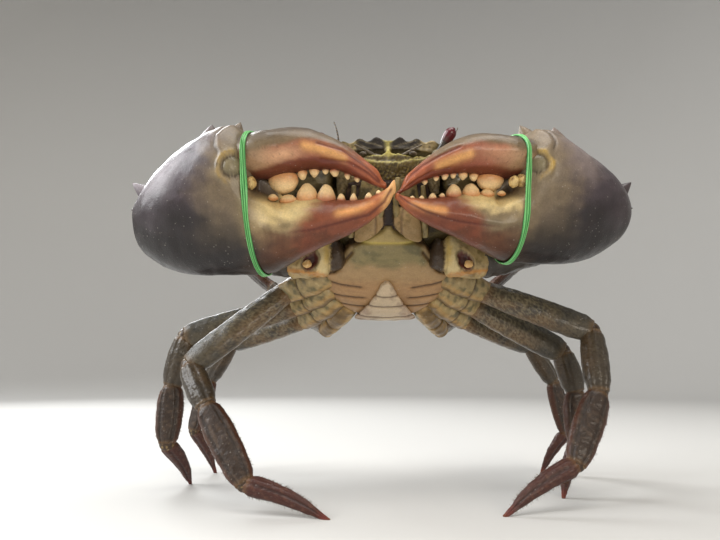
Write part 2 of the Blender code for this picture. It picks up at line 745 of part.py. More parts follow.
def make_finger(side, palm):
    claw = Claw(side)
    rings = claw_rings(claw, FINGER_STATIONS[side], 14, -FINGERS_APART, 0.05, 0.34)
    finger = loft(side + "_finger", rings, FINGER_SHELL)
    fuse(finger, teeth_on(claw, FINGER_TEETH[side], -1, -FINGERS_APART))
    clear_of(finger, [palm], GAP * 1.6)
    clear_of(finger, [palm], GAP * 0.3)
    return finger


# The arm that carries a claw: a short base at the breast, the arm out to the side, and the wrist
SHOULDER = (60.0, 19.0, 143.0)
ELBOW = (120.0, 33.0, 171.0)
WRIST_IN_PALM = {"right": (1.0, -4.0, -8.0), "left": (-2.0, -3.0, -8.0)}
BREAST_SOCKET = (31, -6, -30)
WRIST_SHAPE = [(-0.04, 13, 11), (0.2, 17.5, 16), (0.55, 19, 18), (0.85, 17, 16.5), (1.02, 13, 13)]
ARM_SHAPE = [(-0.06, 13, 12), (0.12, 17, 14.5), (0.45, 16.5, 14), (0.8, 13.5, 12), (1.0, 11, 10)]
BASE_SHAPE = [(0.0, 11, 10), (0.3, 12.5, 11), (0.7, 12, 11), (1.0, 10, 9)]


def make_claw_arm(side, palm):
    claw = Claw(side)
    sign = SIDES[side]
    start = claw.place(*WRIST_IN_PALM[side])
    elbow = Vector((sign * ELBOW[0], ELBOW[1], ELBOW[2]))
    shoulder = Vector((sign * SHOULDER[0], SHOULDER[1], SHOULDER[2]))
    wrist = limb(side + "_wrist", start, elbow, (0, 0, 1), WRIST_SHAPE, CLAW_SHELL, sides=12)
    middle = (start + elbow) / 2
    a, b = (middle + Vector((sign * x, y, z)) for x, y, z in ((-8, 4, 12), (-13, -2, 24)))
    spines = [spike("spine", a, b, 4.5, CLAW_SHELL)]
    for root, tip, radius in WRIST_SPINES[side]:
        spines.append(spike("spine", claw.place(*root), claw.place(*tip), radius, CLAW_SHELL))
    fuse(wrist, spines)
    clear_of(wrist, [palm])
    arm = limb(side + "_arm", elbow, shoulder, (0, 0, 1), ARM_SHAPE, CLAW_SHELL, sides=12, steps=7)
    spines = []
    for share in (0.3, 0.52, 0.74):
        place = elbow.lerp(shoulder, share)
        root, tip = place + Vector((0, -9, 8)), place + Vector((sign * 3, -15, 16))
        spines.append(spike("spine", root, tip, 3.6, CLAW_SHELL))
    fuse(arm, spines)
    x, f, up = BREAST_SOCKET
    socket = body_point(sign * x, f, up)
    base = limb(side + "_claw_base", shoulder, socket, (0, 0, 1), BASE_SHAPE, BELLY, sides=12, steps=5)
    return wrist, arm, base


# Walking and swimming legs
MERUS = [(-0.12, 6.6, 5.2), (0.0, 7.4, 5.4), (0.4, 9.0, 6.2), (0.8, 9.2, 6.0), (1.12, 7.8, 5.4)]
CARPUS = [(-0.3, 7.2, 5.4), (0.0, 7.6, 5.6), (0.5, 8.4, 5.8), (1.0, 7.8, 5.2), (1.3, 7.2, 5.0)]
PROPODUS = [(-0.18, 7.0, 4.8), (0.0, 7.6, 4.8), (0.35, 8.9, 4.5), (0.75, 8.4, 4.2), (1.15, 5.8, 3.8)]
DACTYLUS = [(-0.15, 6.0, 3.8), (0.0, 6.0, 3.8), (0.35, 5.0, 3.2), (0.7, 3.2, 2.2), (1.0, 1.2, 1.0)]
SWIM_MERUS = [(-0.3, 8.0, 6.0), (0.5, 10.0, 6.6), (1.3, 9.0, 6.0)]
SWIM_CARPUS = [(-0.4, 8.2, 5.6), (0.5, 9.0, 5.4), (1.4, 8.6, 4.8)]
SWIM_PROPODUS = [(-0.3, 7.5, 4.4), (0.5, 11.0, 3.8), (1.2, 8.0, 3.0)]
PADDLE = [
    (-0.1, 6.0, 2.8), (0.12, 9.0, 2.6), (0.45, 12.0, 2.2), (0.75, 10.5, 1.7), (0.93, 5.6, 1.2),
    (1.0, 1.5, 0.8),
]
SEGMENTS = ("merus", "carpus", "propodus", "dactylus")


def leg_plane(joints):
    """The direction across the plane that a leg bends in."""
    a = Vector(joints[1]) - Vector(joints[0])
    b = Vector(joints[3]) - Vector(joints[1])
    return a.cross(b).normalized()


def make_leg(side, number, joints, scale, shapes, looks):
    """The four long joints of a leg, each parted from the next by a thin flat cut."""
    joints = [Vector(joint) for joint in joints]
    across = leg_plane(joints)
    made = []
    for i, name in enumerate(SEGMENTS):
        start, end = joints[i], joints[i + 1]
        along = (end - start).normalized()
        broad = along.cross(across)
        stations = [(t, b * scale, h * scale) for t, b, h in shapes[i]]
        bow = (2.2 if broad.z < 0 else -2.2) if name == "dactylus" and number < 4 else 0.0
        segment = limb(
            f"{side}_leg{number}_{name}", start, end, broad, stations, looks[i],
            sides=10 if name != "dactylus" else 8, steps=6, bow=-bow,
        )
        if i:
            before = (start - joints[i - 1]).normalized()
            facing = (before + along).normalized()
            cut_flat(segment, start + facing * GAP / 2, facing)
        else:
            cut_flat(segment, start + along * GAP / 2, along)
        if i < 3:
            after = (joints[i + 2] - end).normalized()
            facing = (along + after).normalized()
            cut_flat(segment, end - facing * GAP / 2, -facing)
        elif number < 4:
            cut_flat(segment, (0, 0, 0), (0, 0, 1))
        made.append(segment)
    return made


def mirrored(points, sign):
    return [(sign * x, y, z) for x, y, z in points]


def make_legs(side):
    sign = SIDES[side]
    looks = (LEG_SHELL, LEG_SHELL, FOOT_SHELL, FOOT_SHELL)
    made = []
    for number, joints in enumerate(WALKING_LEGS[side], 1):
        shapes = (MERUS, CARPUS, PROPODUS, DACTYLUS)
        made.append(make_leg(side, number, joints, LEG_SCALES[number - 1], shapes, looks))
        if number > 1:
            clear_of(made[-1][0], [made[-2][0]])
    shapes = (SWIM_MERUS, SWIM_CARPUS, SWIM_PROPODUS, PADDLE)
    made.append(make_leg(side, 4, mirrored(SWIMMING_LEG, sign), 1.0, shapes, looks))
    clear_of(made[-1][0], [made[-2][0]])
    return made


LEG_ROOTS = [(38, -23, -30), (37, -33, -29.5), (33, -42, -28), (24, -50, -25)]


def make_leg_bases(side, legs, neighbours):
    """The row of short joints that carries the four legs, as one closed body."""
    sign = SIDES[side]
    joints = [Vector(leg[0]) for leg in WALKING_LEGS[side]]
    joints.append(Vector(mirrored(SWIMMING_LEG, sign)[0]))
    knees = [Vector(leg[1]) for leg in WALKING_LEGS[side]]
    knees.append(Vector(mirrored(SWIMMING_LEG, sign)[1]))
    made = []
    for (x, f, up), joint, knee in zip(LEG_ROOTS, joints, knees):
        root = body_point(sign * x, f, up)
        stub = limb(
            side + "_leg_bases", root, joint, (knee - joint).cross(Vector((0, 1, 0))),
            [(0.0, 8.5, 7.5), (0.4, 9.6, 7.8), (0.75, 8.6, 7.0), (1.25, 7.8, 6.2)],
            BELLY, sides=10, steps=5,
        )
        facing = (knee - joint).normalized()
        cut_flat(stub, joint - facing * GAP / 2, -facing)
        made.append(stub)
    bases = made[0]
    fuse(bases, made[1:])
    clear_of(bases, neighbours)
    bases.name = side + "_leg_bases"
    return bases


# Twine: one turn of flat green twine round each claw, pulled straight over its hollows
TWINE_WIDTH = 3.8
TWINE_THICKNESS = 1.1
TWINE_STEPS = 40
TWINE_PLACE = {"right": (73.2, 5.0), "left": (76.5, 4.0)}


def hull_of(points):
    """The corners of the stretched outline round flat points, in order."""
    points = sorted(set(points))

    def half(run):
        chain = []
        for p in run:
            while len(chain) > 1:
                (ax, ay), (bx, by) = chain[-2], chain[-1]
                if (bx - ax) * (p[1] - ay) - (by - ay) * (p[0] - ax) > 0:
                    break
                chain.pop()
            chain.append(p)
        return chain[:-1]

    return half(points) + half(reversed(points))


def even_steps(corners, count):
    """Points at even distances round a closed outline."""
    lengths = [math.dist(corners[i], corners[i - 1]) for i in range(len(corners))]
    total, found = sum(lengths), []
    for k in range(count):
        want, run, i = total * k / count, 0.0, 0
        while run + lengths[(i + 1) % len(corners)] < want:
            run += lengths[(i + 1) % len(corners)]
            i += 1
        a, b = corners[i % len(corners)], corners[(i + 1) % len(corners)]
        s = (want - run) / max(lengths[(i + 1) % len(corners)], 1e-9)
        found.append(Vector((a[0] + (b[0] - a[0]) * s, a[1] + (b[1] - a[1]) * s)))
    return found


def section(bodies, point, normal, wide, tall):
    """Where bodies' edges cross a plane, as flat points."""
    found = []
    for made in bodies:
        corners = [vert.co / MM for vert in made.data.vertices]
        for edge in made.data.edges:
            a, b = (corners[i] for i in edge.vertices)
            da, db = (a - point).dot(normal), (b - point).dot(normal)
            if da * db < 0:
                cross = a.lerp(b, da / (da - db)) - point
                found.append((round(cross.dot(wide), 4), round(cross.dot(tall), 4)))
    return found


def make_twine(side, palm, finger):
    claw = Claw(side)
    at, lean = TWINE_PLACE[side]
    lean = math.radians(lean)
    normal = claw.along * math.cos(lean) + claw.up * math.sin(lean)
    wide = claw.out
    tall = normal.cross(wide)
    point = claw.place(at, 0, 0)
    flat = []
    for share in (-0.5, -0.25, 0, 0.25, 0.5):
        flat += section((palm, finger), point + normal * (share * TWINE_WIDTH), normal, wide, tall)
    line = even_steps(hull_of(flat), TWINE_STEPS)
    rings = []
    for k, here in enumerate(line):
        ahead, behind = line[(k + 1) % len(line)], line[k - 1]
        run = (ahead - behind).normalized()
        out = Vector((run.y, -run.x))
        if out.dot(here) < 0:
            out = -out
        rings.append(
            [
                point + wide * (here + out * reach).x + tall * (here + out * reach).y + normal * offset
                for reach, offset in (
                    (GAP + 0.25, -TWINE_WIDTH / 2),
                    (GAP + 0.25, TWINE_WIDTH / 2),
                    (GAP + TWINE_THICKNESS * 0.7, TWINE_WIDTH / 2),
                    (GAP + 0.2 + TWINE_THICKNESS, 0.0),
                    (GAP + TWINE_THICKNESS * 0.7, -TWINE_WIDTH / 2),
                )
            ]
        )
    shape = bmesh.new()
    rows = [[shape.verts.new(corner) for corner in ring] for ring in rings]
    for k in range(len(rows)):
        low, high = rows[k - 1], rows[k]
        for i in range(len(low)):
            j = (i + 1) % len(low)
            shape.faces.new((low[i], low[j], high[j], high[i]))
    made = finished(shape, side + "_twine", TWINE)
    clear_of(made, [palm, finger])
    return made


def centre_on_floor():
    """Brings the middle of the crab's floor space to the origin."""
    x, y = FLOOR_MIDDLE
    for piece in CRAB.objects:
        piece.data.transform(Matrix.Translation((-x * MM, -y * MM, 0)))


def make_crab():
    carapace = make_carapace()
    cut_face_notch(carapace)
    sternum = make_sternum(carapace)
    make_abdomen([sternum, carapace])
    plates = []
    for side in SIDES:
        plates.append(make_maxilliped(side, [sternum, carapace] + plates))
    epistome = make_epistome([carapace, sternum] + plates)
    for side in SIDES:
        eye = make_eye(side, [carapace, epistome])
        antenna = make_antenna(side, [carapace, epistome, eye])
        make_antennule(side, [carapace, epistome, antenna])
    for side in SIDES:
        palm = make_palm(side)
        finger = make_finger(side, palm)
        make_twine(side, palm, finger)
        legs = make_legs(side)
        wrist, arm, base = make_claw_arm(side, palm)
        bases = make_leg_bases(side, legs, [sternum, carapace] + [leg[0] for leg in legs])
        clear_of(arm, [wrist, palm, finger, carapace, bases] + [leg[0] for leg in legs])
        clear_of(base, [arm, sternum, carapace, bases] + plates)
    centre_on_floor()


make_crab()
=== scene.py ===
import math

import bpy
import numpy as np
from mathutils import Matrix, Vector


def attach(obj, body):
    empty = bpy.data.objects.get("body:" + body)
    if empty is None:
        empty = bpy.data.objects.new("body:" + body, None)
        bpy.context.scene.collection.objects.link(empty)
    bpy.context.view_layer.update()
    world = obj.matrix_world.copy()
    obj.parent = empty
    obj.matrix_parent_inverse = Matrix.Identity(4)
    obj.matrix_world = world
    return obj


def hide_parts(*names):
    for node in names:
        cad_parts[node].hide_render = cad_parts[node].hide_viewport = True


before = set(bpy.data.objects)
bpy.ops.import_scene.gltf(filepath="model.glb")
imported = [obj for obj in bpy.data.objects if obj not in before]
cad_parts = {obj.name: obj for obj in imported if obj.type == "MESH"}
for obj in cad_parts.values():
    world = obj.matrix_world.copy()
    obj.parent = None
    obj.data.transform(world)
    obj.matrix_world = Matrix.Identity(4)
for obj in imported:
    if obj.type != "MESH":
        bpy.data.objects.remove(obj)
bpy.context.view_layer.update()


# The camera stands low in front of the crab, as the photo looks at its underside.
# Its lens is a phone's, about 27 mm on full frame.
lens = bpy.data.cameras.new("camera")
lens.lens = 27.05
lens.sensor_width = 36.0
lens.clip_start = 0.01
camera = bpy.data.objects.new("camera", lens)
camera.location = (-0.017, -0.3596, 0.074)
camera.rotation_euler = (math.radians(90 + 10.8), 0, 0)
bpy.context.scene.collection.objects.link(camera)
bpy.context.scene.camera = camera


# A pale floor that curves up behind, and soft light: a wide one overhead, one low in front
# for the underside, and one from behind for the wet edges.
def plain_surface(name, colour, roughness):
    """A dull paint for the studio."""
    made = bpy.data.materials.new(name)
    made.use_nodes = True
    shader = made.node_tree.nodes["Principled BSDF"]
    shader.inputs["Base Color"].default_value = (*colour, 1)
    shader.inputs["Roughness"].default_value = roughness
    return made


def studio_bowl():
    """The studio's round floor, running up into its wall in one curve on every side."""
    flat_radius, curve, top, steps, count = 1.5, 0.8, 3.4, 16, 96
    profile = [(0.02, 0.0), (flat_radius, 0.0)]
    for i in range(1, steps + 1):
        angle = math.pi / 2 * i / steps
        profile.append((flat_radius + curve * math.sin(angle), curve * (1 - math.cos(angle))))
    profile.append((flat_radius + curve, top))
    corners = [(0, 0, 0)] + [
        (r * math.cos(2 * math.pi * i / count), r * math.sin(2 * math.pi * i / count), z)
        for r, z in profile for i in range(count)
    ]
    faces = [(0, 1 + i, 1 + (i + 1) % count) for i in range(count)]
    for k in range(len(profile) - 1):
        low, high = 1 + k * count, 1 + (k + 1) * count
        faces += [(low + i, high + i, high + (i + 1) % count, low + (i + 1) % count) for i in range(count)]
    mesh = bpy.data.meshes.new("floor")
    mesh.from_pydata(corners, [], faces)
    mesh.polygons.foreach_set("use_smooth", [True] * len(faces))
    made = bpy.data.objects.new("floor", mesh)
    mesh.materials.append(plain_surface("floor_paint", (0.56, 0.55, 0.53), 0.8))
    bpy.context.scene.collection.objects.link(made)


def soft_light(name, place, aim, size, power, colour):
    """A wide lamp, aimed at a place on the crab."""
    lamp = bpy.data.lights.new(name, "AREA")
    lamp.shape = "RECTANGLE"
    lamp.size, lamp.size_y = size
    lamp.energy = power
    lamp.color = colour
    made = bpy.data.objects.new(name, lamp)
    made.location = place
    made.rotation_euler = (Vector(aim) - Vector(place)).to_track_quat("-Z", "Y").to_euler()
    bpy.context.scene.collection.objects.link(made)


studio_bowl()
soft_light("overhead_light", (0.1, -0.35, 1.5), (0, 0, 0.12), (1.3, 0.9), 16, (1, 0.98, 0.94))
soft_light("window_light", (-1.3, -0.35, 0.95), (0, 0, 0.15), (0.9, 1.0), 24, (0.96, 0.98, 1))
soft_light("front_light", (0.5, -1.35, 0.5), (0, 0, 0.15), (0.7, 0.4), 7, (1, 0.9, 0.76))
soft_light("back_light", (-0.75, 0.75, 0.95), (-0.05, 0, 0.13), (0.6, 0.6), 14, (0.95, 0.98, 1))
world = bpy.data.worlds.new("room")
world.use_nodes = True
sky = world.node_tree.nodes["Background"].inputs
sky["Color"].default_value = (0.96, 0.97, 1.0, 1)
sky["Strength"].default_value = 0.36
bpy.context.scene.world = world
bpy.context.scene.view_settings.view_transform = "Standard"


# Claws: two great pincers folded across the front, of hard calcified shell, smooth and wet.
# The hand and its fixed finger are one piece; it turns on the wrist at its outer end.
# Places on a claw are in millimetres along it, up it and out through its outer face.
CLAW_PLACES = {
    "right": {"tip": (0.9, -78.6, 177.4), "reach": (150.0, 9.4), "turn": math.radians(10), "sign": 1},
    "left": {"tip": (2.6, -76.1, 170.1), "reach": (146.0, 0.0), "turn": math.radians(15), "sign": -1},
}
CLAW_LEAN = math.radians(14.5)
FINGERS_APART = 2.6
HAND_SHAPE = {
    "right": [
        (-1.2, -3.5, -10.5, 6), (0.4, 0.6, -20.0, 11), (4, 5.0, -30.0, 16), (10, 13.4, -35.8, 19.5),
        (18, 21.0, -40.0, 22.5), (28, 28.8, -42.6, 24.8), (38, 34.6, -43.6, 25.4), (48, 39.4, -43.8, 25.5),
        (57, 41.4, -43.6, 25), (64, 39.0, -43.4, 24), (69, 31.0, -43.3, 23), (73, 21.0, -43.2, 22),
        (77, 13.0, -43.0, 20.5), (82, 7.0, -42.0, 19), (86.5, 2.2, -40.2, 18), (91, -0.8, -37.8, 17),
        (103, 0.4, -31.0, 14.6), (115, -0.4, -25.0, 12.0), (126, -1.6, -19.8, 9.4), (135, -1.0, -14.6, 7.0),
        (142, 1.8, -9.0, 5.0), (147.5, 5.4, -3.8, 3.2), (151.2, 9.6, 2.2, 1.4),
    ],
    "left": [
        (1.6, -5.0, -11.5, 5), (2.4, -1.0, -16.0, 10), (4.6, 4.8, -20.6, 15), (8.6, 10.2, -26.6, 19),
        (16, 17.6, -32.0, 22), (26, 24.4, -36.8, 23.5), (37, 30.8, -38.9, 24), (48, 36.6, -39.5, 24),
        (57, 39.0, -39.3, 23.5), (64, 37.8, -39.0, 22.5), (69, 33.0, -38.7, 21.5), (73, 26.0, -38.4, 20.5),
        (77, 17.0, -38.2, 19.5), (82, 8.0, -37.2, 18.5), (86.5, 3.0, -35.4, 17.4), (91, 0.8, -33.2, 16.4),
        (100, 1.0, -28.8, 14.2), (110, 0.6, -23.8, 12.0), (119, -1.0, -19.6, 9.8), (128, -2.4, -15.8, 7.6),
        (136, -2.2, -11.2, 5.4), (142, -1.4, -7.0, 3.6), (146.2, 0.4, -2.6, 1.4),
    ],
}
HINGE_PLATE = {"right": (66, 16.5, 5.2), "left": (69.6, 17.6, 4.8)}
HINGE_LUG = {"right": (73.8, 8.0, 3.6), "left": (76.6, 8.4, 3.6)}
LUG_LOBES = {"right": [(0, 0, 1.0)], "left": [(0, 0, 1.0), (4.8, 1.0, 0.95)]}
HAND_SPINES = {
    "right": [
        ((45, 33, 2), (46.8, 42.2, 3), 7.0), ((55, 34, -8), (59, 45.6, -9), 7.5),
        ((6, 4, 6), (-0.6, 9.5, 8), 4.5),
    ],
    "left": [
        ((47, 31, 2), (50, 40.6, 3), 7.0), ((59, 33, -8), (65, 43.2, -9), 7.5),
        ((5, 4, 6), (-0.6, 9.5, 8), 4.5),
    ],
}


class Claw:
    """Places points drawn on a claw: along it, up it and out through its outer face."""

    def __init__(self, side):
        claw = CLAW_PLACES[side]
        sign, turn = claw["sign"], claw["turn"]
        lean = Matrix.Rotation(CLAW_LEAN, 3, "X")
        axes = (
            lean @ Vector((sign * math.cos(turn), -math.sin(turn), 0)),
            lean @ Vector((0, 0, 1)),
            lean @ Vector((-sign * math.sin(turn), -math.cos(turn), 0)),
        )
        self.axes = np.array([list(axis) for axis in axes])
        along, up = claw["reach"]
        self.origin = np.array(claw["tip"]) - self.axes[0] * along - self.axes[1] * up

    def place(self, points):
        """Where places on the claw are in the frame."""
        return self.origin + np.asarray(points, float) @ self.axes

    def read(self, places):
        """The same, the other way round."""
        return (np.asarray(places, float) - self.origin) @ self.axes.T


def linear(red, green, blue):
    """A colour as seen on a screen, in the shader's own scale."""
    shades = np.array([red, green, blue]) / 255
    return np.where(shades > 0.04, ((shades + 0.055) / 1.055) ** 2.4, shades / 12.92)


def step(low, high, x):
    """A smooth rise from 0 at low to 1 at high; high may be the lower of the two."""
    t = np.clip((x - low) / (high - low), 0, 1)
    return t * t * (3 - 2 * t)


def near(x, at, width):
    """From 0 to 1 at a place, falling off over a width."""
    return np.exp(-(((x - at) / width) ** 2))


def near_line(x, y, line, width):
    """From 0 to 1 on a line drawn through flat points."""
    found = np.full(len(x), 1e9)
    for (x0, y0), (x1, y1) in zip(line, line[1:]):
        run, rise = x1 - x0, y1 - y0
        t = np.clip(((x - x0) * run + (y - y0) * rise) / (run * run + rise * rise), 0, 1)
        found = np.minimum(found, np.hypot(x - x0 - t * run, y - y0 - t * rise))
    return near(found, 0, width)


class Paint:
    """Colours laid one over another on a piece, each with its share at every point."""

    def __init__(self, points, colour):
        self.colour = np.broadcast_to(linear(*colour), points.shape)

    def over(self, colour, share):
        """Lays on one colour, or a colour for each point, and gives back what shows."""
        share = np.broadcast_to(np.clip(share, 0, 1), len(self.colour))[:, None]
        added = linear(*colour) if isinstance(colour, tuple) else colour
        self.colour = self.colour * (1 - share) + added * share
        return self.colour


def wave(points, size, seed):
    """A soft, seeded unevenness between -1 and 1 with lumps of about the size given."""
    ways = np.random.default_rng(seed)
    total = np.zeros(len(points))
    for octave in range(3):
        for _ in range(4):
            way = ways.normal(size=3)
            way *= (2 * math.pi / size) * 1.7**octave / np.linalg.norm(way)
            total += np.sin(points @ way + ways.uniform(0, 6.28)) * 0.6**octave
    return total / 4


def mottled(low, high, size, seed, start=0, end=1):
    """A tint that goes from one colour to another in lumps of about the size given."""
    return lambda points, *place: Paint(points, low).over(high, step(start, end, wave(points, size, seed)))


def along_table(stations, t):
    """Values at many places along stations, read from the same smooth curve."""
    grid = np.linspace(stations[0][0], stations[-1][0], 200)
    rows = np.array([between(stations, value) for value in grid])
    return np.stack([np.interp(t, grid, column) for column in rows.T], axis=1)


def between(stations, t):
    """Values at t on a smooth curve through stations, each (t, value, value, ...)."""
    if t <= stations[0][0]:
        return np.array(stations[0][1:], float)
    for i in range(len(stations) - 1):
        low, high = stations[i], stations[i + 1]
        if t <= high[0]:
            before = stations[i - 1] if i else low
            after = stations[i + 2] if i + 2 < len(stations) else high
            a, b, c, d = (np.array(s[1:], float) for s in (before, low, high, after))
            span = high[0] - low[0]
            s = (t - low[0]) / span
            rise_in = np.where((c - b) * (b - a) > 0, (c - a) / max(high[0] - before[0], 1e-6) * span, 0)
            rise_out = np.where((d - c) * (c - b) > 0, (d - b) / max(after[0] - low[0], 1e-6) * span, 0)
            return (
                b * (2 * s**3 - 3 * s**2 + 1) + rise_in * (s**3 - 2 * s**2 + s)
                + c * (3 * s**2 - 2 * s**3) + rise_out * (s**3 - s**2)
            )
    return np.array(stations[-1][1:], float)


def rounded(count, power):
    """Corners of a unit round as (broad, thin) pairs; a power over 2 squares it."""
    angle = 2 * math.pi * (np.arange(count) + 0.5) / count
    c, s = np.cos(angle), np.sin(angle)
    return np.sign(c) * np.abs(c) ** (2 / power), np.sign(s) * np.abs(s) ** (2 / power)


def dome_ends(rings, steps=4):
    """Rounds off both ends of a run of rings, each an array of points, down to almost nothing."""
    for at_end in (False, True):
        edge, inner = (rings[-1], rings[-2]) if at_end else (rings[0], rings[1])
        middle = edge.mean(axis=0)
        way = middle - inner.mean(axis=0)
        way /= max(np.linalg.norm(way), 1e-9)
        reach = 0.5 * np.min(np.linalg.norm(edge - middle, axis=1))
        for k in range(1, steps + 1):
            angle = math.pi / 2 * k / steps
            ring = middle + (edge - middle) * max(math.cos(angle), 0.02) + way * reach * math.sin(angle)
            rings = rings + [ring] if at_end else [ring] + rings
    return rings


def row_faces(rows, around, closed=False):
    """Faces that join each row of points to the next, and the last to the first if closed."""
    faces = []
    for r in range(rows if closed else rows - 1):
        low, high = r * around, (r + 1) % rows * around
        for i in range(around):
            j = (i + 1) % around
            faces.append((low + i, low + j, high + j, high + i))
    return faces


class Build:
    """Gathers closed fine pieces, in millimetres, into one object with a tint at every point."""

    def __init__(self):
        self.points, self.faces, self.tints, self.count = [], [], [], 0

    def add(self, points, faces, tint):
        """One more closed piece, with one tint or a tint for each point."""
        points = np.asarray(points, float)
        self.points.append(points)
        self.tints.append(np.broadcast_to(np.asarray(tint, float), points.shape))
        self.faces += [tuple(corner + self.count for corner in face) for face in faces]
        self.count += len(points)

    def rings(self, rings, relief=None, tint=None):
        """A closed skin through rings of points, pushed out by relief and tinted by place."""
        around = len(rings[0])
        points = np.vstack(rings)
        faces = row_faces(len(rings), around)
        faces.append(tuple(range(around))[::-1])
        faces.append(tuple(range(len(points) - around, len(points))))
        if relief is not None:
            grid = points.reshape(len(rings), around, 3)
            across = np.roll(grid, -1, axis=1) - np.roll(grid, 1, axis=1)
            along = np.gradient(grid, axis=0)
            normal = np.cross(across, along).reshape(-1, 3)
            normal /= np.maximum(np.linalg.norm(normal, axis=1, keepdims=True), 1e-9)
            centre = grid.mean(axis=1, keepdims=True)
            outward = ((grid - centre).reshape(-1, 3) * normal).sum(axis=1, keepdims=True)
            normal = np.where(outward < 0, -normal, normal)
            points = points + normal * relief(points, normal)[:, None]
        colour = tint(points) if callable(tint) else tint
        self.add(points, faces, colour)

    def finish(self, name, look, stands_for):
        """Makes the object, which wears the look and stands in the place of its CAD nodes."""
        mesh = bpy.data.meshes.new(name)
        points = np.vstack(self.points) * 0.001
        points[:, 2] = np.maximum(points[:, 2], 0)
        mesh.from_pydata(points.tolist(), [], self.faces)
        mesh.polygons.foreach_set("use_smooth", [True] * len(mesh.polygons))
        colours = np.ones((self.count, 4), np.float32)
        colours[:, :3] = np.clip(np.vstack(self.tints), 0, 1)
        mesh.color_attributes.new("tint", "FLOAT_COLOR", "POINT")
        mesh.color_attributes["tint"].data.foreach_set("color", colours.ravel())
        mesh.materials.append(look)
        mesh.validate()
        made = bpy.data.objects.new(name, mesh)
        bpy.context.scene.collection.objects.link(made)
        for node in stands_for:
            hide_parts(node)
        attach(made, "root")


def circle(around):
    """Cosines and sines of even steps round a circle."""
    turn = 2 * math.pi * np.arange(around) / around
    return np.cos(turn), np.sin(turn)


def lump(build, centre, axes, radii, tint, tip=1.0, relief=None):
    """A rounded lump; tip under 1 draws its top to a blunt point."""
    around, steps = 28, 16
    c, s = circle(around)
    rings = []
    for k in range(steps + 1):
        angle = math.pi * (k + 0.35) / (steps + 0.7)
        height = -math.cos(angle)
        wide = math.sin(angle) * (1 - (1 - tip) * max(height + 0.25, 0) ** 0.9)
        local = np.stack([wide * c, wide * s, np.full(around, height)], axis=1)
        rings.append(np.asarray(centre) + (local * radii) @ np.asarray(axes))
    build.rings(rings, relief, tint)


def new_node(tree, kind, inputs, output=0, **settings):
    """One output of a new node; each input is given as a value or as the output that feeds it."""
    made = tree.nodes.new("ShaderNode" + kind)
    for setting, value in settings.items():
        setattr(made, setting, value)
    for socket, value in inputs.items():
        if isinstance(value, bpy.types.NodeSocket):
            tree.links.new(value, made.inputs[socket])
        else:
            made.inputs[socket].default_value = value
    return made.outputs[output]


def shell_grain():
    """Shared surface of wet shell: fine mottling over a colour, with pits and grains in relief."""
    group = bpy.data.node_groups.new("shell_grain", "ShaderNodeTree")
    for name, kind, start in (
        ("Colour", "NodeSocketColor", (0.5, 0.5, 0.5, 1)), ("Speck", "NodeSocketFloat", 900.0),
        ("Mottle", "NodeSocketFloat", 0.3), ("Relief", "NodeSocketFloat", 0.2),
    ):
        group.interface.new_socket(name, in_out="INPUT", socket_type=kind).default_value = start
    for name, kind in (
        ("Colour", "NodeSocketColor"), ("Normal", "NodeSocketVector"), ("Dull", "NodeSocketFloat"),
    ):
        group.interface.new_socket(name, in_out="OUTPUT", socket_type=kind)
    given = group.nodes.new("NodeGroupInput").outputs
    out = group.nodes.new("NodeGroupOutput").inputs
    place = new_node(group, "TexCoord", {}, "Object")
    clouds = {"Vector": place, "Scale": 190, "Detail": 5, "Roughness": 0.62}
    broad = new_node(group, "TexNoise", clouds, "Fac")
    fine = new_node(group, "TexNoise", {"Vector": place, "Scale": given["Speck"], "Detail": 3}, "Fac")
    cells = new_node(group, "TexVoronoi", {"Vector": place, "Scale": given["Speck"]}, "Distance")
    both = new_node(group, "Math", {0: broad, 1: fine}, operation="ADD")
    centred = new_node(group, "Math", {0: both, 1: 1.0}, operation="SUBTRACT")
    scaled = new_node(group, "Math", {0: centred, 1: given["Mottle"], 2: 1.0}, operation="MULTIPLY_ADD")
    tone = new_node(group, "VectorMath", {0: given["Colour"], "Scale": scaled}, operation="SCALE")
    scatter = new_node(group, "TexVoronoi", {"Vector": place, "Scale": 430}, "Distance")
    dot = new_node(group, "MapRange", {"Value": scatter, "From Min": 0.2, "From Max": 0.08, "To Max": 0.3})
    patch = new_node(group, "MapRange", {"Value": broad, "From Min": 0.47, "From Max": 0.6})
    amount = new_node(group, "Math", {0: dot, 1: patch}, operation="MULTIPLY")
    pale_specks = {"Factor": amount, "A": tone, "B": (0.5, 0.46, 0.4, 1)}
    group.links.new(new_node(group, "Mix", pale_specks, "Result", data_type="RGBA"), out["Colour"])
    height = new_node(group, "Math", {0: cells, 1: 0.5, 2: broad}, operation="MULTIPLY_ADD")
    bump = new_node(group, "Bump", {"Distance": 0.0012, "Strength": given["Relief"], "Height": height})
    group.links.new(bump, out["Normal"])
    spread = {"Value": broad, "From Min": 0.3, "From Max": 0.7, "To Min": -0.08, "To Max": 0.12}
    group.links.new(new_node(group, "MapRange", spread), out["Dull"])
    return group


GRAIN = shell_grain()


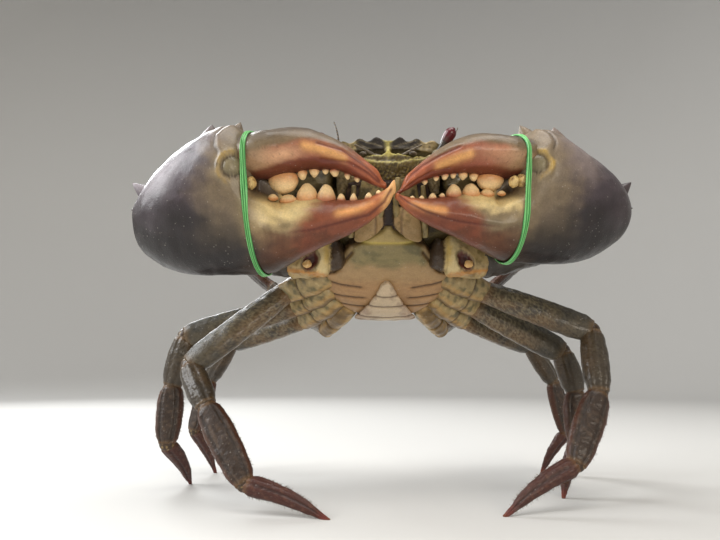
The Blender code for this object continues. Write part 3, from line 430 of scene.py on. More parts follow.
def wet_shell(name, roughness, speck, mottle, relief, coat):
    """A shell material that takes its broad colours from the tint of the piece."""
    made = bpy.data.materials.new(name)
    made.use_nodes = True
    tree = made.node_tree
    shader = tree.nodes["Principled BSDF"].inputs
    grain = tree.nodes.new("ShaderNodeGroup")
    grain.node_tree = GRAIN
    for socket, value in (("Speck", speck), ("Mottle", mottle), ("Relief", relief)):
        grain.inputs[socket].default_value = value
    tree.links.new(new_node(tree, "VertexColor", {}, "Color", layer_name="tint"), grain.inputs["Colour"])
    tree.links.new(grain.outputs["Colour"], shader["Base Color"])
    tree.links.new(grain.outputs["Normal"], shader["Normal"])
    dullness = new_node(tree, "Math", {0: grain.outputs["Dull"], 1: roughness}, operation="ADD")
    tree.links.new(dullness, shader["Roughness"])
    shader["Specular IOR Level"].default_value = 0.3
    shader["Coat Weight"].default_value = coat
    shader["Coat Roughness"].default_value = 0.17
    return made


CLAW_LOOK = wet_shell("wet_claw_shell", 0.4, 1100, 0.5, 0.16, 0.2)
FINGER_ROOT_AT, BITE_FADE = 66, 20
NOTCH_END, SLOPE_FROM, NOTCH_SLOPE = (91, 86), 74, 0.45
NOTCH_PAST_HINGE, CLAW_SQUARENESS = 4.6, 2.15


def claw_rings(claw, shape, around, steps, out_shift, narrow_top, narrow_low, notch=None):
    """Sections of a claw piece, narrowed towards the edge that bites.

    From the notch on, the outer face is cut back where the finger's root lies over it.
    """
    rings = []
    first, last = shape[0][0], shape[-1][0]
    b, h = rounded(around, CLAW_SQUARENESS)
    for k in range(steps + 1):
        along = first + (last - first) * k / steps
        high, low, half_thick = between(shape, along)
        middle, half = (high + low) / 2, (high - low) / 2
        shift = out_shift * ((along - first) / (last - first)) ** 3
        bite = min(max((along - FINGER_ROOT_AT) / BITE_FADE, 0), 1)
        narrow = 1 - bite * (narrow_top * np.maximum(b, 0) + narrow_low * np.maximum(-b, 0))
        if notch:
            over_root = 0.8 * step(notch, notch + 4, along) * step(*NOTCH_END, along)
            cut_back = over_root * step(-1, 5, middle + half * b + max(along - SLOPE_FROM, 0) * NOTCH_SLOPE)
            narrow = narrow * (1 - cut_back * (h > 0))
        outward = shift + half_thick * h * narrow
        rings.append(claw.place(np.stack([np.full(around, along), middle + half * b, outward], axis=1)))
    return rings


def hand_rings(side, around, steps):
    """The skin of the hand and its fixed finger."""
    notch = HINGE_PLATE[side][0] + NOTCH_PAST_HINGE
    return claw_rings(Claw(side), HAND_SHAPE[side], around, steps, FINGERS_APART, 0.34, 0.1, notch)


def ridge_line(local, line, width):
    """How near places are to a line drawn on the outer face, from 0 to 1 on it."""
    return near_line(local[:, 0], local[:, 1], line, width) * (local[:, 2] > 0)


GROOVE_ON_HAND = {
    "right": [
        (85.4, -21.1), (95, -19.2), (109.5, -17.2), (123.9, -13.4), (138.1, -9.5), (146, -2.5), (149.5, 4),
    ],
    "left": [
        (92, -17.5), (102.4, -16.2), (113, -14.8), (122.5, -12.4), (131.9, -9.2), (141, -4.5), (145, -1),
    ],
}
KNUCKLE_SEAM = {
    "right": [(63, 43.5), (57, 41), (53.5, 35), (54.5, 29), (58, 24.5)],
    "left": [(65, 41), (60, 39.5), (56.8, 35), (57.2, 30), (60, 26)],
}
GOLD_ON_HAND = {
    "right": [(122, -8.4), (132.4, -6.4), (140, -3.4)],
    "left": [(122, -8.6), (130.9, -7.4), (138.3, -5.0)],
}


def hand_relief(side):
    """The hand's soft unevenness, its groove, hinge plate, knuckle seam and two scars."""
    claw = Claw(side)
    plate_at, plate_up, plate_size = HINGE_PLATE[side]

    def relief(points, normal):
        local = claw.read(points)
        along, up, out = local.T
        face = ((normal @ claw.axes[2]) > 0.2) * 1.0
        push = wave(local, 34, 3) * 0.5 + wave(local, 9, 4) * 0.12
        push -= ridge_line(local, GROOVE_ON_HAND[side], 0.8) * 0.6 * step(86, 104, along)
        away = np.hypot(along - plate_at, (up - plate_up) * 0.92)
        outer_half = step(plate_at + 2, plate_at - 2, along)
        push -= near(away, plate_size, 0.55) * 0.9 * face
        push += step(plate_size, plate_size * 0.5, away) * 0.9 * face
        push += near(away, plate_size + 2.2, 1.0) * 0.9 * face * outer_half
        inside = [(a + 3.4, u - 1.2) for a, u in KNUCKLE_SEAM[side]]
        push += ridge_line(local, inside, 2.4) * 0.8 * face
        push -= ridge_line(local, KNUCKLE_SEAM[side], 0.8) * 0.7 * face
        for scar, width in (([(96, -30), (99, -28)], 0.7), ([(27, 12), (31, 17)], 0.6)):
            push -= ridge_line(local, scar, width) * 0.5
        return push

    return relief


def hand_tint(side):
    """The hand's colours by place, from the wrist to the fixed finger's tip."""
    claw = Claw(side)
    plate_at, plate_up, plate_size = HINGE_PLATE[side]
    tan_share, yellow_from = (0.65, -17) if side == "right" else (0.3, -12)

    def tint(points):
        local = claw.read(points)
        along, up, out = local.T
        soft, fine = wave(local, 26, 5), wave(local, 7, 6)
        streak = wave(local * [1, 2.2, 1], 12, 7)
        paint = Paint(points, (68, 59, 64))
        # pale on top as a painted sheen, dark below as painted shade, with dark streaks
        # painted sheen on the upper face, then painted shade over the lower face
        paint.over((112, 105, 113), step(8, 36, up + soft * 6) * 0.7)
        paint.over((22, 16, 15), step(10, -25, up + soft * 7) * 0.96)
        paint.over((40, 31, 30), step(0.2, 1.0, streak + fine * 0.4) * 0.55)
        # each hand's own cast at the wrist's end; on the right hand a broad painted sheen of lamp light over
        # its upper face
        if side == "left":
            paint.over((62, 52, 49), step(30, -8, along) * 0.5)
            paint.over((150, 134, 126), step(22, 36, along + soft * 3) * step(4, 18, up + soft * 3) * 0.5)
        else:
            # painted sheen: the lamp's broad highlight on the right palm's upper face
            paint.over((184, 176, 182), step(42, 12, along + soft * 3) * step(-6, 20, up) * 0.75)
        # olive and tan towards the hinge, brown beneath it
        paint.over((120, 104, 80), step(40, 62, along + soft * 5 + fine * 2) * step(-34, 6, up) * 0.85)
        tan = step(66, 82, along + soft * 4) * step(-32, -14, up + fine * 3)
        paint.over((168, 146, 106), tan * tan_share)
        low = step(-17, -24, up + (along - 100) * 0.13 + fine * 1.5)
        paint.over((94, 54, 30), step(72, 92, along + soft * 4) * low * 0.85)
        paint.over((50, 33, 18), step(62, 80, along + soft * 6) * step(-28, -40, up) * 0.85)
        # rust on the fixed finger, brown and then orange along its belly
        above = step(-19, -15, up + (along - 100) * 0.13 + fine * 1.5)
        paint.over((116, 54, 32), step(95, 108, along + soft * 3 + fine * 2) * 0.92)
        belly = step(98, 112, along) * (1 - above)
        paint.over((92, 50, 28), belly * 0.8)
        paint.over((146, 92, 54), belly * step(118, 140, along) * 0.5)
        # cream below the hinge, gold along the groove, orange at the tip
        yellow = step(74, 84, along) * step(113, 98, along + (up + 6) * -0.6 + fine * 2) * (out > 0)
        yellow = yellow * step(yellow_from, yellow_from + 8, up + fine * 1.5)
        paint.over((216, 192, 136), yellow * 0.9)
        paint.over((206, 146, 88), ridge_line(local, GOLD_ON_HAND[side], 2.4) * 0.9)
        paint.over((172, 94, 54), step(130, 147, along + fine * 2) * 0.75)
        if side == "right":
            paint.over((226, 178, 116), step(141, 149, along + fine) * 0.7)
        paint.over((82, 30, 16), ridge_line(local, GROOVE_ON_HAND[side], 0.75) * 0.8 * step(84, 108, along))
        # the knuckle's seam, the hinge plate with its rim, and painted shade in the hollow past it
        away = np.hypot(along - plate_at, (up - plate_up) * 0.92)
        facing = (out > 5) * 1.0
        outer_half = step(plate_at + 2, plate_at - 2, along)
        paint.over((58, 50, 42), ridge_line(local, KNUCKLE_SEAM[side], 0.8) * facing * (0.6 + fine * 0.2))
        paint.over((128, 114, 92), step(plate_size + 7, plate_size + 3, away) * facing * 0.6)
        rim = near(away, plate_size + 2.0 + fine * 0.7, 1.1 + soft * 0.5) * facing * outer_half
        paint.over((172, 142, 76), rim * (0.62 + soft * 0.3 + fine * 0.15))
        seam = near(away, plate_size, 0.6) * facing
        paint.over((116, 106, 80), step(plate_size, plate_size * 0.8, away) * facing * 0.85)
        paint.over((48, 36, 24), seam * 0.75)
        hollow = step(plate_at + 4.5, plate_at + 8, along) * step(88, 84, along)
        hollow = hollow * step(1, 5, up + np.maximum(along - SLOPE_FROM, 0) * NOTCH_SLOPE)
        # painted shade in the recessed hollow behind the finger's molar
        paint.over((46, 28, 18), hollow * step(12, 9, out) * 0.9)
        paint.over((120, 104, 92), (out < -4) * step(60, 100, along) * 0.5)
        return paint.colour * (1 + fine * 0.12)[:, None]

    return tint


TEETH_ON_HAND = {
    "right": [
        (84, 0.0, 3.2, 2.4), (91.5, -1.4, 5.4, 3.8), (102, 0.0, 6.6, 8.6), (113, -0.6, 5.6, 8.6),
        (121.5, -1.0, 2.4, 3.6), (128.5, -1.6, 2.3, 4.4), (137, -0.4, 2.2, 3.4), (142.5, 1.8, 1.7, 2.2),
    ],
    "left": [
        (85.5, 1.0, 2.6, 1.8), (92, 0.8, 4.6, 3.4), (101.5, 0.8, 5.6, 6.4), (112, 0.2, 4.8, 6.4),
        (119, -0.9, 2.0, 2.4), (125, -2.0, 2.4, 3.2), (131.5, -2.4, 1.8, 2.0), (137, -2.0, 1.6, 1.6),
    ],
}


def tooth_tint(claw, level, direction, height, rust):
    """Cream at a tooth's crown, peach or rust at its root."""
    def tint(points):
        rise = (claw.read(points)[:, 1] - level) * direction / height
        paint = Paint(points, (204, 146, 96))
        paint.over((160, 86, 58), rust)
        paint.over((236, 204, 152), step(-0.15, 0.6, rise))
        return paint.colour * (1 + wave(points, 2.5, 8) * 0.05)[:, None]

    return tint


def add_teeth(build, claw, teeth, direction, shift):
    """Blunt teeth of denser, paler shell along a biting edge."""
    for along, level, half_length, height in teeth:
        out = shift * (along / 150) ** 3
        if direction > 0:
            out += 6.5 * step(95, 85, along)
        centre = claw.place([along, level + direction * height * 0.18, out])
        radii = (half_length, min(half_length * 0.95, 5.6), height * 0.82)
        axes = np.array([claw.axes[0], claw.axes[2], claw.axes[1] * direction])
        rust = step(104, 116, along)
        blunt = 0.95 if half_length > 7 else 0.74
        lump(
            build, centre, axes, radii, tooth_tint(claw, level, direction, height, rust), blunt,
            relief=lambda points, normal: wave(points, 4.5, 9) * 0.22,
        )


def spike(build, root, tip, radius, tint):
    """A stout spine with a blunt, slightly worn point."""
    root, tip = np.asarray(root, float), np.asarray(tip, float)
    way = (tip - root) / np.linalg.norm(tip - root)
    side = np.cross(way, [0.3, 0.9, 0.2])
    side /= np.linalg.norm(side)
    other = np.cross(way, side)
    c, s = circle(18)
    ring = np.outer(c, side) + np.outer(s, other)
    rings = []
    for t in np.linspace(0, 1, 9):
        rings.append(root + (tip - root) * t + ring * radius * (1 - t) ** 0.85 + ring * 0.25)
    build.rings(dome_ends(rings, 3), None, tint)


for side in CLAW_PLACES:
    claw = Claw(side)
    hand = Build()
    hand.rings(dome_ends(hand_rings(side, 128, 220)), hand_relief(side), hand_tint(side))
    add_teeth(hand, claw, TEETH_ON_HAND[side], 1, FINGERS_APART)
    for root, tip, radius in HAND_SPINES[side]:
        spike(hand, claw.place(root), claw.place(tip), radius, hand_tint(side))
    along, up, radius = HINGE_LUG[side]
    knob = mottled((206, 176, 116), (140, 104, 66), 4, 10)
    for further, lower, share in LUG_LOBES[side]:
        lump(
            hand, claw.place([along + further, up - lower, 13.0]), claw.axes,
            (radius * 0.75 * share, radius * share, 4.0 * share), knob,
            relief=lambda p, n: wave(p, 4, 11) * 0.3,
        )
    hand.finish(side + "_hand", CLAW_LOOK, [side + "_palm"])


# Movable fingers: one strong curved piece above each hand, turning on the round hinge plates.
# Its outer face is rust red with a cream streak, and its biting edge carries a broad molar.
FINGER_SHAPE = {
    "right": [
        (56, 33.0, 20.0, 10), (62, 35.4, 13.0, 14), (70, 36.8, 10.6, 17.5), (80, 38.8, 11.2, 18.5),
        (92, 39.6, 13.6, 16), (104, 38.2, 16.0, 13.4), (115, 34.2, 16.0, 11), (125, 28.6, 13.2, 8.6),
        (134, 21.8, 9.6, 6.2), (141, 15.2, 6.0, 4.2), (145.6, 8.8, 4.6, 1.6),
    ],
    "left": [
        (56, 31.0, 20.0, 10), (62, 33.0, 13.0, 13), (70, 33.8, 10.2, 16), (80, 35.0, 10.0, 17.5),
        (92, 35.4, 11.6, 15), (104, 33.6, 12.8, 12.4), (114, 29.8, 12.0, 10), (124, 23.6, 9.8, 7.8),
        (133, 16.2, 6.2, 5.4), (139.5, 9.6, 2.2, 3.6), (144.2, 2.6, 0.0, 1.4),
    ],
}
TEETH_ON_FINGER = {
    "right": [
        (87.6, 11.8, 8.8, 9.0), (98.8, 14.8, 3.0, 4.4), (105.7, 16.2, 3.1, 4.4), (112, 16.3, 2.0, 3.0),
        (117.3, 15.6, 2.8, 3.8), (124.6, 13.4, 2.0, 3.0), (130, 11.4, 2.0, 2.6),
    ],
    "left": [
        (88.6, 10.4, 8.4, 7.4), (99, 12.2, 2.8, 3.6), (105.5, 12.8, 2.8, 3.8), (111.5, 12.4, 2.0, 2.8),
        (116.6, 11.8, 2.2, 3.0), (121.8, 10.4, 1.8, 2.4), (128.5, 8.2, 1.9, 2.6),
    ],
}
GROOVES_ON_FINGER = {
    "right": (
        [(110, 29.2), (123.7, 25.2), (133.3, 18.5), (140.8, 11.8), (144.5, 7)],
        [(112, 20.6), (126.6, 19.0), (136, 13.8), (142, 8.6)],
    ),
    "left": (
        [(112, 26), (123.4, 20.8), (130.9, 16.4), (138.2, 10.2), (143, 4.4)],
        [(116, 14.8), (127, 12.4), (134.5, 8.4), (141, 3.0)],
    ),
}
GOLD_ON_FINGER = {
    "right": [(104, 27.4), (111.3, 25.8), (119, 23.4), (124, 21.2)],
    "left": [(107, 22), (115.8, 18.8), (123, 15.8)],
}
OLIVE_EDGE = {
    "right": [
        (60, 22), (75.7, 25.5), (89.9, 28.6), (104.6, 31), (114.2, 30), (123.7, 25.6), (133.3, 18.5),
        (142, 11),
    ],
    "left": [
        (60, 21), (75.5, 24.5), (88, 28.6), (100, 29), (106.2, 28), (115.8, 25.1), (124.3, 20.2), (134, 14),
    ],
}
RED_EDGE = {
    "right": [
        (67, 14.6), (77, 15.2), (85, 17.5), (93, 20.2), (101, 21.7), (110, 22), (119, 19.9), (128, 16),
        (136, 11), (142, 6.4),
    ],
    "left": [
        (73, 14.7), (80, 14.7), (92, 16.2), (104, 16.4), (114, 15.6), (124, 13.1), (133, 8.6), (140, 3.8),
    ],
}


def finger_rings(side, around, steps):
    """The skin of the movable finger."""
    return claw_rings(Claw(side), FINGER_SHAPE[side], around, steps, -FINGERS_APART, 0.05, 0.34)


def finger_relief(side):
    """Two long grooves and a soft unevenness."""
    claw = Claw(side)

    def relief(points, normal):
        local = claw.read(points)
        push = wave(local, 20, 13) * 0.35 + wave(local, 6, 14) * 0.1
        for line in GROOVES_ON_FINGER[side]:
            push -= ridge_line(local, line, 0.8) * 0.6
        return push

    return relief


def finger_tint(side):
    """The finger's colours: olive along its back, a cream painted sheen at its middle, dark red at its edge.
    """
    claw = Claw(side)
    olive_edge, red_edge = np.array(OLIVE_EDGE[side]), np.array(RED_EDGE[side])

    def tint(points):
        local = claw.read(points)
        along, up, out = local.T
        soft, fine = wave(local, 22, 15), wave(local, 6, 16)
        above = up - np.interp(along, olive_edge[:, 0], olive_edge[:, 1])
        under = np.interp(along, red_edge[:, 0], red_edge[:, 1]) - up
        paint = Paint(points, (138, 74, 54))
        # tan at the root, with a pale painted sheen over the outer face
        root = step(96, 78, along + soft * 4)
        paint.over((160, 130, 98), root * 0.9)
        # painted sheen: a pale pink-cream highlight on the outer side, stronger on the right finger
        painted_sheen_patch = near(along, 92, 11) * near(above, -6, 4.5)
        paint.over((212, 166, 128), painted_sheen_patch * (out > 0) * (0.85 if side == "right" else 0.45))
        paint.over((96, 82, 60), root * step(-5, 2, above + fine * 1.5) * 0.8)
        # olive and grey along the back, gold beside it, orange at the tip
        paint.over((106, 90, 66), step(-2.0, 2.0, above + soft * 0.8) * step(141, 120, along) * 0.95)
        paint.over((78, 68, 58), step(2.5, 8, above + soft) * step(130, 100, along) * 0.7)
        paint.over((216, 160, 98), ridge_line(local, GOLD_ON_FINGER[side], 2.6) * 0.95)
        paint.over((172, 96, 56), step(122, 140, along + fine * 3) * 0.65)
        # dark red along the biting edge and in the grooves, with small dark specks
        band = step(-1.0, 1.6, under + fine * 0.5) * step(66, 76, along)
        paint.over((104, 48, 33), band * step(-6, 0, out) * 0.9)
        paint.over((66, 30, 20), step(2.0, 6.5, under + fine * 0.5) * step(60, 70, along) * 0.75)
        for line in GROOVES_ON_FINGER[side]:
            paint.over((96, 38, 22), ridge_line(local, line, 0.75) * 0.85)
        paint.over((112, 96, 84), (out < -3) * 0.5)
        speck = step(0.75, 1.0, wave(local, 1.6, 17)) * step(110, 90, along)
        paint.over((70, 52, 38), speck * 0.4)
        return paint.colour * (1 + fine * 0.07)[:, None]

    return tint


for side in CLAW_PLACES:
    claw = Claw(side)
    finger = Build()
    finger.rings(dome_ends(finger_rings(side, 96, 130)), finger_relief(side), finger_tint(side))
    add_teeth(finger, claw, TEETH_ON_FINGER[side], -1, -FINGERS_APART)
    finger.finish(side + "_movable_finger", CLAW_LOOK, [side + "_finger"])


# Back shell: one broad domed plate over the whole body, dark olive and finely pitted, with
# lobes between the eyes and nine forward-pointing teeth down each side; pale underneath.
# Places on the body are in millimetres across it, forward and up from its pitched middle.
BODY_Y, BODY_Z, PITCH = -9.7, 173.4, math.radians(45)
SHELL_HALF_WIDTH, SHELL_HALF_LENGTH, DOME_HEIGHT, SHELL_UNDERSIDE = 85.0, 62.0, 25.0, -20.0
FRONT_LEVEL = 57.4
FRONT_LOBES = ((2.3, 3.2), (12.6, 3.1), (22.8, 2.8))
LOBE_WIDTH = 9.4
ORBIT = [(32, 54), (37, 50), (43, 48), (50, 48.5)]
SIDE_BEND = ((56, 50), (80, 39), (SHELL_HALF_WIDTH, 4))
REAR_BEND = ((SHELL_HALF_WIDTH - 1, 0), (74, -34), (36, -58))
SIDE_TEETH, TOOTH_LENGTH = 9, 7.0
TOOTH_SHAPE = ((0.0, 0.0), (0.3, 1.0), (0.58, 0.6), (0.84, 0.26))
TAIL_EDGE = [(30, -61), (16, -62), (0, -62.5)]


def on_body(across, forward, up):
    """Places in the crab's own body, held where the pitched body holds them."""
    across, forward, up = np.broadcast_arrays(*(np.asarray(v, float) for v in (across, forward, up)))
    c, s = math.cos(PITCH), math.sin(PITCH)
    return np.stack([across, BODY_Y - forward * c + up * s, BODY_Z + forward * s + up * c], axis=-1)


def in_body(points):
    """The same places read back as across, forward and up."""
    y, z = points[..., 1] - BODY_Y, points[..., 2] - BODY_Z
    c, s = math.cos(PITCH), math.sin(PITCH)
    return np.stack([points[..., 0], -y * c + z * s, y * s + z * c], axis=-1)


def bend(points, t):
    """A place on a curve drawn by its two ends and the corner between them."""
    (x0, y0), (x1, y1), (x2, y2) = points
    a, b, c = (1 - t) ** 2, 2 * t * (1 - t), t * t
    return a * x0 + b * x1 + c * x2, a * y0 + b * y1 + c * y2


def softened(loop, gap, rounds):
    """A closed outline filled in with points about a gap apart, its corners eased in rounds."""
    fine = []
    for a, b in zip(loop, np.roll(loop, -1, axis=0)):
        parts = max(int(math.dist(a[-2:], b[-2:]) / gap), 1)
        fine += [a + (b - a) * k / parts for k in range(parts)]
    fine = np.array(fine)
    for _ in range(rounds):
        fine = (fine * 2 + np.roll(fine, 1, axis=0) + np.roll(fine, -1, axis=0)) / 4
    return fine


def shell_edge():
    """The shell's edge all round: smooth, and with its lobes and teeth."""
    half = [(0, FRONT_LEVEL, 0, FRONT_LEVEL)]
    for start, height in FRONT_LOBES:
        for share, rise in ((0.1, 0.0), (0.32, 0.62), (0.5, 1.0), (0.66, 0.7), (0.9, 0.05)):
            x = start + share * LOBE_WIDTH
            f = FRONT_LEVEL - 0.003 * x * x
            half.append((x, f, x, f + rise * height))
    half += [(x, f, x, f) for x, f in ORBIT]
    for k in range(SIDE_TEETH):
        for share, length in TOOTH_SHAPE:
            t = (k + share) / SIDE_TEETH
            x, f = bend(SIDE_BEND, t)
            x_on, f_on = bend(SIDE_BEND, t + 0.02)
            out = Vector((f - f_on, x_on - x)).normalized()
            lean = Vector((out.x, out.y + 0.45)).normalized() * (TOOTH_LENGTH * length)
            half.append((x, f, x + lean.x, f + lean.y))
    half += [(*bend(REAR_BEND, k / 12), *bend(REAR_BEND, k / 12)) for k in range(13)]
    half = np.array(half + [(x, f, x, f) for x, f in TAIL_EDGE])
    return softened(np.vstack([half, half[-2:0:-1] * [-1, 1, -1, 1]]), 1.1, 1)


SHELL_GROOVES = (
    [(9, 9), (13, 0), (10, -8), (14, -20)], [(0, -8), (10, -8)], [(13, 12), (26, 19), (44, 30), (62, 38)],
    [(14, -20), (30, -30), (38, -46)],
)
SHELL_RIDGES = ([(82, 4), (62, 11), (40, 6), (30, 1)], [(4, 24), (22, 26)])


def shell_relief(points, normal):
    """The back's fine pits, faint grooves and ridges."""
    x, f, up = in_body(points).T
    back = step(-8, 2, up)
    push = wave(points, 28, 21) * 0.5 + wave(points, 7, 22) * 0.22 + wave(points, 2.6, 23) * 0.1
    for line in SHELL_GROOVES:
        push -= near_line(np.abs(x), f, line, 2.2) * 1.1 * back
    for line in SHELL_RIDGES:
        push += near_line(np.abs(x), f, line, 1.4) * 0.8 * back
    return push * (1 - step(0.9, 1.0, np.hypot(x / 92, f / 66)) * 0.6)


FOLDED_STREAKS = (
    ([(3.4, -14.5), (10, -9.6), (19, -4.2)], 0.55), ([(4.0, -16), (11, -12.2), (20, -8.2)], 0.5),
    ([(4, -6.5), (17, -1.6)], 0.5),
)


def hollow_shade_tint(points, paint, share):
    """The two hollows over the mouth, dark with painted shade, where folded feelers lie slantwise, and the
    ridge between.
    """
    x, f, up = in_body(points).T
    side, rise = np.abs(x), f + up - 57
    fine = wave(points, 3, 26)
    inside = step(1.6, 3.4, side) * step(20.5, 17.5, side + fine)
    inside = inside * step(-17.6, -16.4, rise - (side - 8) ** 2 * 0.02)
    # painted shade deep in the two hollows
    paint.over((34, 27, 25), share * inside * 0.93)
    streaks = sum(near_line(side, rise, line, width) for line, width in FOLDED_STREAKS)
    paint.over((142, 130, 104), share * inside * np.minimum(streaks, 1) * (0.62 + fine * 0.3))
    outer = step(18.5, 20.5, side + fine) * step(33, 28, side + fine)
    paint.over((176, 156, 112), share * outer * (0.7 + fine * 0.45))
    ridge = near_line(side, rise, [(0, -20), (0, -4), (3.2, 0.4)], 1.1)
    return paint.over((180, 168, 92), share * np.minimum(ridge, 1) * 0.85)


def shell_tint(points):
    """Olive patches on the back, a paler rim, a pale underside and the two hollows in front, dark with
    painted shade.
    """
    x, f, up = in_body(points).T
    broad, fine = wave(points, 30, 24), wave(points, 6, 25)
    paint = Paint(points, (62, 58, 42))
    paint.over((92, 84, 52), step(0.1, 1.0, broad + fine * 0.4) * 0.6)
    paint.over((40, 40, 32), step(0.1, 0.9, -broad + fine * 0.5) * 0.6)
    for line in SHELL_GROOVES:
        paint.over((34, 32, 24), near_line(np.abs(x), f, line, 2.6) * 0.6 * step(-4, 2, up))
    rim = step(0.86, 1.0, np.hypot(x / 88, f / 62)) * step(-9, -1, up)
    paint.over((112, 96, 58), rim * 0.5)
    front = step(50, 55, f) * step(36, 28, np.abs(x))
    paint.over((64, 56, 40), front * 0.8)
    paint.over((128, 122, 72), front * step(0.2, 0.9, fine) * 0.6)
    underside = Paint(points, (116, 102, 66)).over((64, 56, 36), step(-0.3, 0.7, broad + fine * 0.6))
    paint.over(underside, step(-3.5, -8, up))
    return hollow_shade_tint(points, paint, front * step(0.2, -0.9, up))


SHELL_LOOK = wet_shell("wet_back_shell", 0.38, 800, 0.55, 0.3, 0.25)
BELLY_LOOK = wet_shell("wet_belly_shell", 0.44, 1300, 0.45, 0.16, 0.22)


FACE_ROOF = -5.5
UNDERSIDE = (
    (1.0, 0.0), (0.955, -4.0), (0.86, -12.5),
    (0.74, SHELL_UNDERSIDE), (0.3, SHELL_UNDERSIDE), (0.02, SHELL_UNDERSIDE),
)


def back_shell():
    """The dome ring by ring from its middle to the edge, then back in along the underside."""
    smooth, toothed = shell_edge()[:, :2].T, shell_edge()[:, 2:].T
    droop = -3.0 * (toothed[1] / SHELL_HALF_LENGTH) ** 2
    rings = []
    for s in np.linspace(0.012, 1.0, 64) ** 0.9:
        x, f = smooth * s + (toothed - smooth) * max((s - 0.88) / 0.12, 0) ** 1.4
        rings.append(on_body(x, f, droop * s + DOME_HEIGHT * (1 - s**2.5)))
    for k in range(1, 50):
        t = k / 49 * 5
        i = min(int(t), 4)
        s, up = (a + (b - a) * (t - i) for a, b in zip(UNDERSIDE[i], UNDERSIDE[i + 1]))
        x, f = smooth * s + (toothed - smooth) * max((s - 0.94) / 0.06, 0)
        low = up + droop * max((s - 0.955) / 0.045, 0)
        over_face = step(36, 32, np.abs(x)) * step(27, 31, f)
        rings.append(on_body(x, f, low + (np.maximum(low, FACE_ROOF) - low) * over_face))
    shell = Build()
    shell.rings(rings, shell_relief, shell_tint)
    shell.finish("back_shell", SHELL_LOOK, ["carapace"])


back_shell()


# Breast: pale plates of calcified shell joined by flexible seams, with the male's narrow
# tail flap folded forward over them.
STERNUM_SHAPE = [
    (-57, 15, -30), (-52, 24, -33), (-46, 30, -35), (-40, 35, -36.5), (-34, 39.5, -37.5),
    (-27, 42, -38), (-21, 43, -38), (-17, 41, -38), (-14.5, 33.5, -38), (-10, 30.5, -38),
    (-3, 26, -38), (3, 21.5, -37.5), (5, 18.5, -37.2), (9, 11.5, -36.5), (14, 3, -35),
]
BREAST_SEAMS = (
    [(0, 5.8), (10, 5.6), (18.5, 5.2)], [(18, 5), (24, 1), (29.5, -7), (33, -15)],
    [(22, -2), (27, -9), (33, -16.5), (43, -19)], [(43, -22), (30, -25), (16, -27)],
    [(40, -33), (28, -34.5), (14, -36)], [(35, -42), (25, -43), (14, -44)],
)


def breast_relief(points, normal):
    """Seams between the plates, a middle groove and a soft swelling on each side."""
    x, f, up = in_body(points).T
    below = step(-30, -34, up)
    push = wave(points, 16, 31) * 0.3 + wave(points, 4, 32) * 0.1
    for line in BREAST_SEAMS:
        push -= near_line(np.abs(x), f, line, 0.8) * 0.7 * below
    push -= near_line(np.abs(x), f, [(0, -22), (0, 8)], 1.4) * 0.35 * below
    push += near(np.abs(x), 10, 7) * near(f, -6, 7) * 0.5 * below
    return push


def breast_tint(points):
    """Tan plates, olive at the top, with dark seams and cream and gold beside the mouth."""
    x, f, up = in_body(points).T
    side = np.abs(x)
    broad, fine = wave(points, 18, 33), wave(points, 4.5, 34)
    paint = Paint(points, (158, 130, 92))
    upper = step(-14, -6, f + broad * 2)
    paint.over((128, 116, 78), upper * 0.95)
    paint.over((98, 92, 62), upper * step(0.0, 0.9, broad + fine * 0.6) * 0.8)
    paint.over((170, 148, 94), step(4.5, 6.5, f) * 0.9)
    paint.over((166, 124, 84), step(-18, -27, f + fine * 2) * 0.5)
    wing = step(0, 3.0, side - (22 + (-2 - f) * 0.62)) * step(3, 0, f) * step(-17.5, -15.5, f)
    paint.over((206, 190, 148), wing * 0.9)
    gold = near_line(side, f, [(24.5, 1.5), (29, -6), (33, -14)], 1.5)
    paint.over((186, 128, 48), gold * 0.85)
    paint.over((208, 190, 130), step(37, 42, side) * step(-16, -22, f) * 0.5)
    paint.over((190, 168, 78), near_line(side, f, BREAST_SEAMS[0], 0.9) * 0.7)
    for line in BREAST_SEAMS[1:]:
        paint.over((142, 98, 48), near_line(side, f, line, 1.6) * 0.5)
        paint.over((52, 34, 20), near_line(side, f, line, 0.75) * 0.9)
    paint.over((120, 92, 64), step(-0.1, 0.6, fine + broad * 0.4) * step(-14, -24, f) * 0.3)
    return paint.over((84, 64, 46), step(-33, -26, up) * 0.8)


INNER_MOUTH_AND_SHADE_FLOOR = [(6, 26, -32), (20, 26, -30), (30, 26, -26), (38, 24, -22.5)]


def breast_rings(shape, first, last, count, around):
    """Sections across the body, from inside the shell down to the level given at each station."""
    rings = []
    top = SHELL_UNDERSIDE + 1.5
    for f in np.linspace(first, last, count):
        half, low = between(shape, f)
        b, h = rounded(around, 3.2)
        rings.append(on_body(half * b, f, (top + low) / 2 + (top - low) / 2 * h))
    return rings


def breast():
    """The joined plates, and the dark floor behind the mouth: its inner parts under painted shade."""
    made = Build()
    made.rings(dome_ends(breast_rings(STERNUM_SHAPE, -57, 14, 130, 120), 3), breast_relief, breast_tint)
    floor = breast_rings(INNER_MOUTH_AND_SHADE_FLOOR, 6, 38, 30, 60)
    # near-black floor: the mouth's inner parts, with painted shade over them where they show between the
    # plates
    made.rings(dome_ends(floor, 2), None, mottled((44, 24, 16), (80, 58, 34), 5, 35))
    made.finish("breast_plates", BELLY_LOOK, ["sternum"])


breast()


ABDOMEN_SHAPE = [
    (-61.5, -18.0, 18.0), (-61.0, -23.0, 19.5), (-58.5, -28.5, 20.5), (-54, -33.0, 20.0), (-48, -36.0, 16.5),
    (-42, -38.0, 13.0), (-36, -39.2, 9.5), (-30, -39.8, 6.5), (-24.5, -39.7, 4.0), (-22, -39.5, 1.6),
]
ABDOMEN_SEAMS = (-31.5, -40.5, -52.5, -57.5)


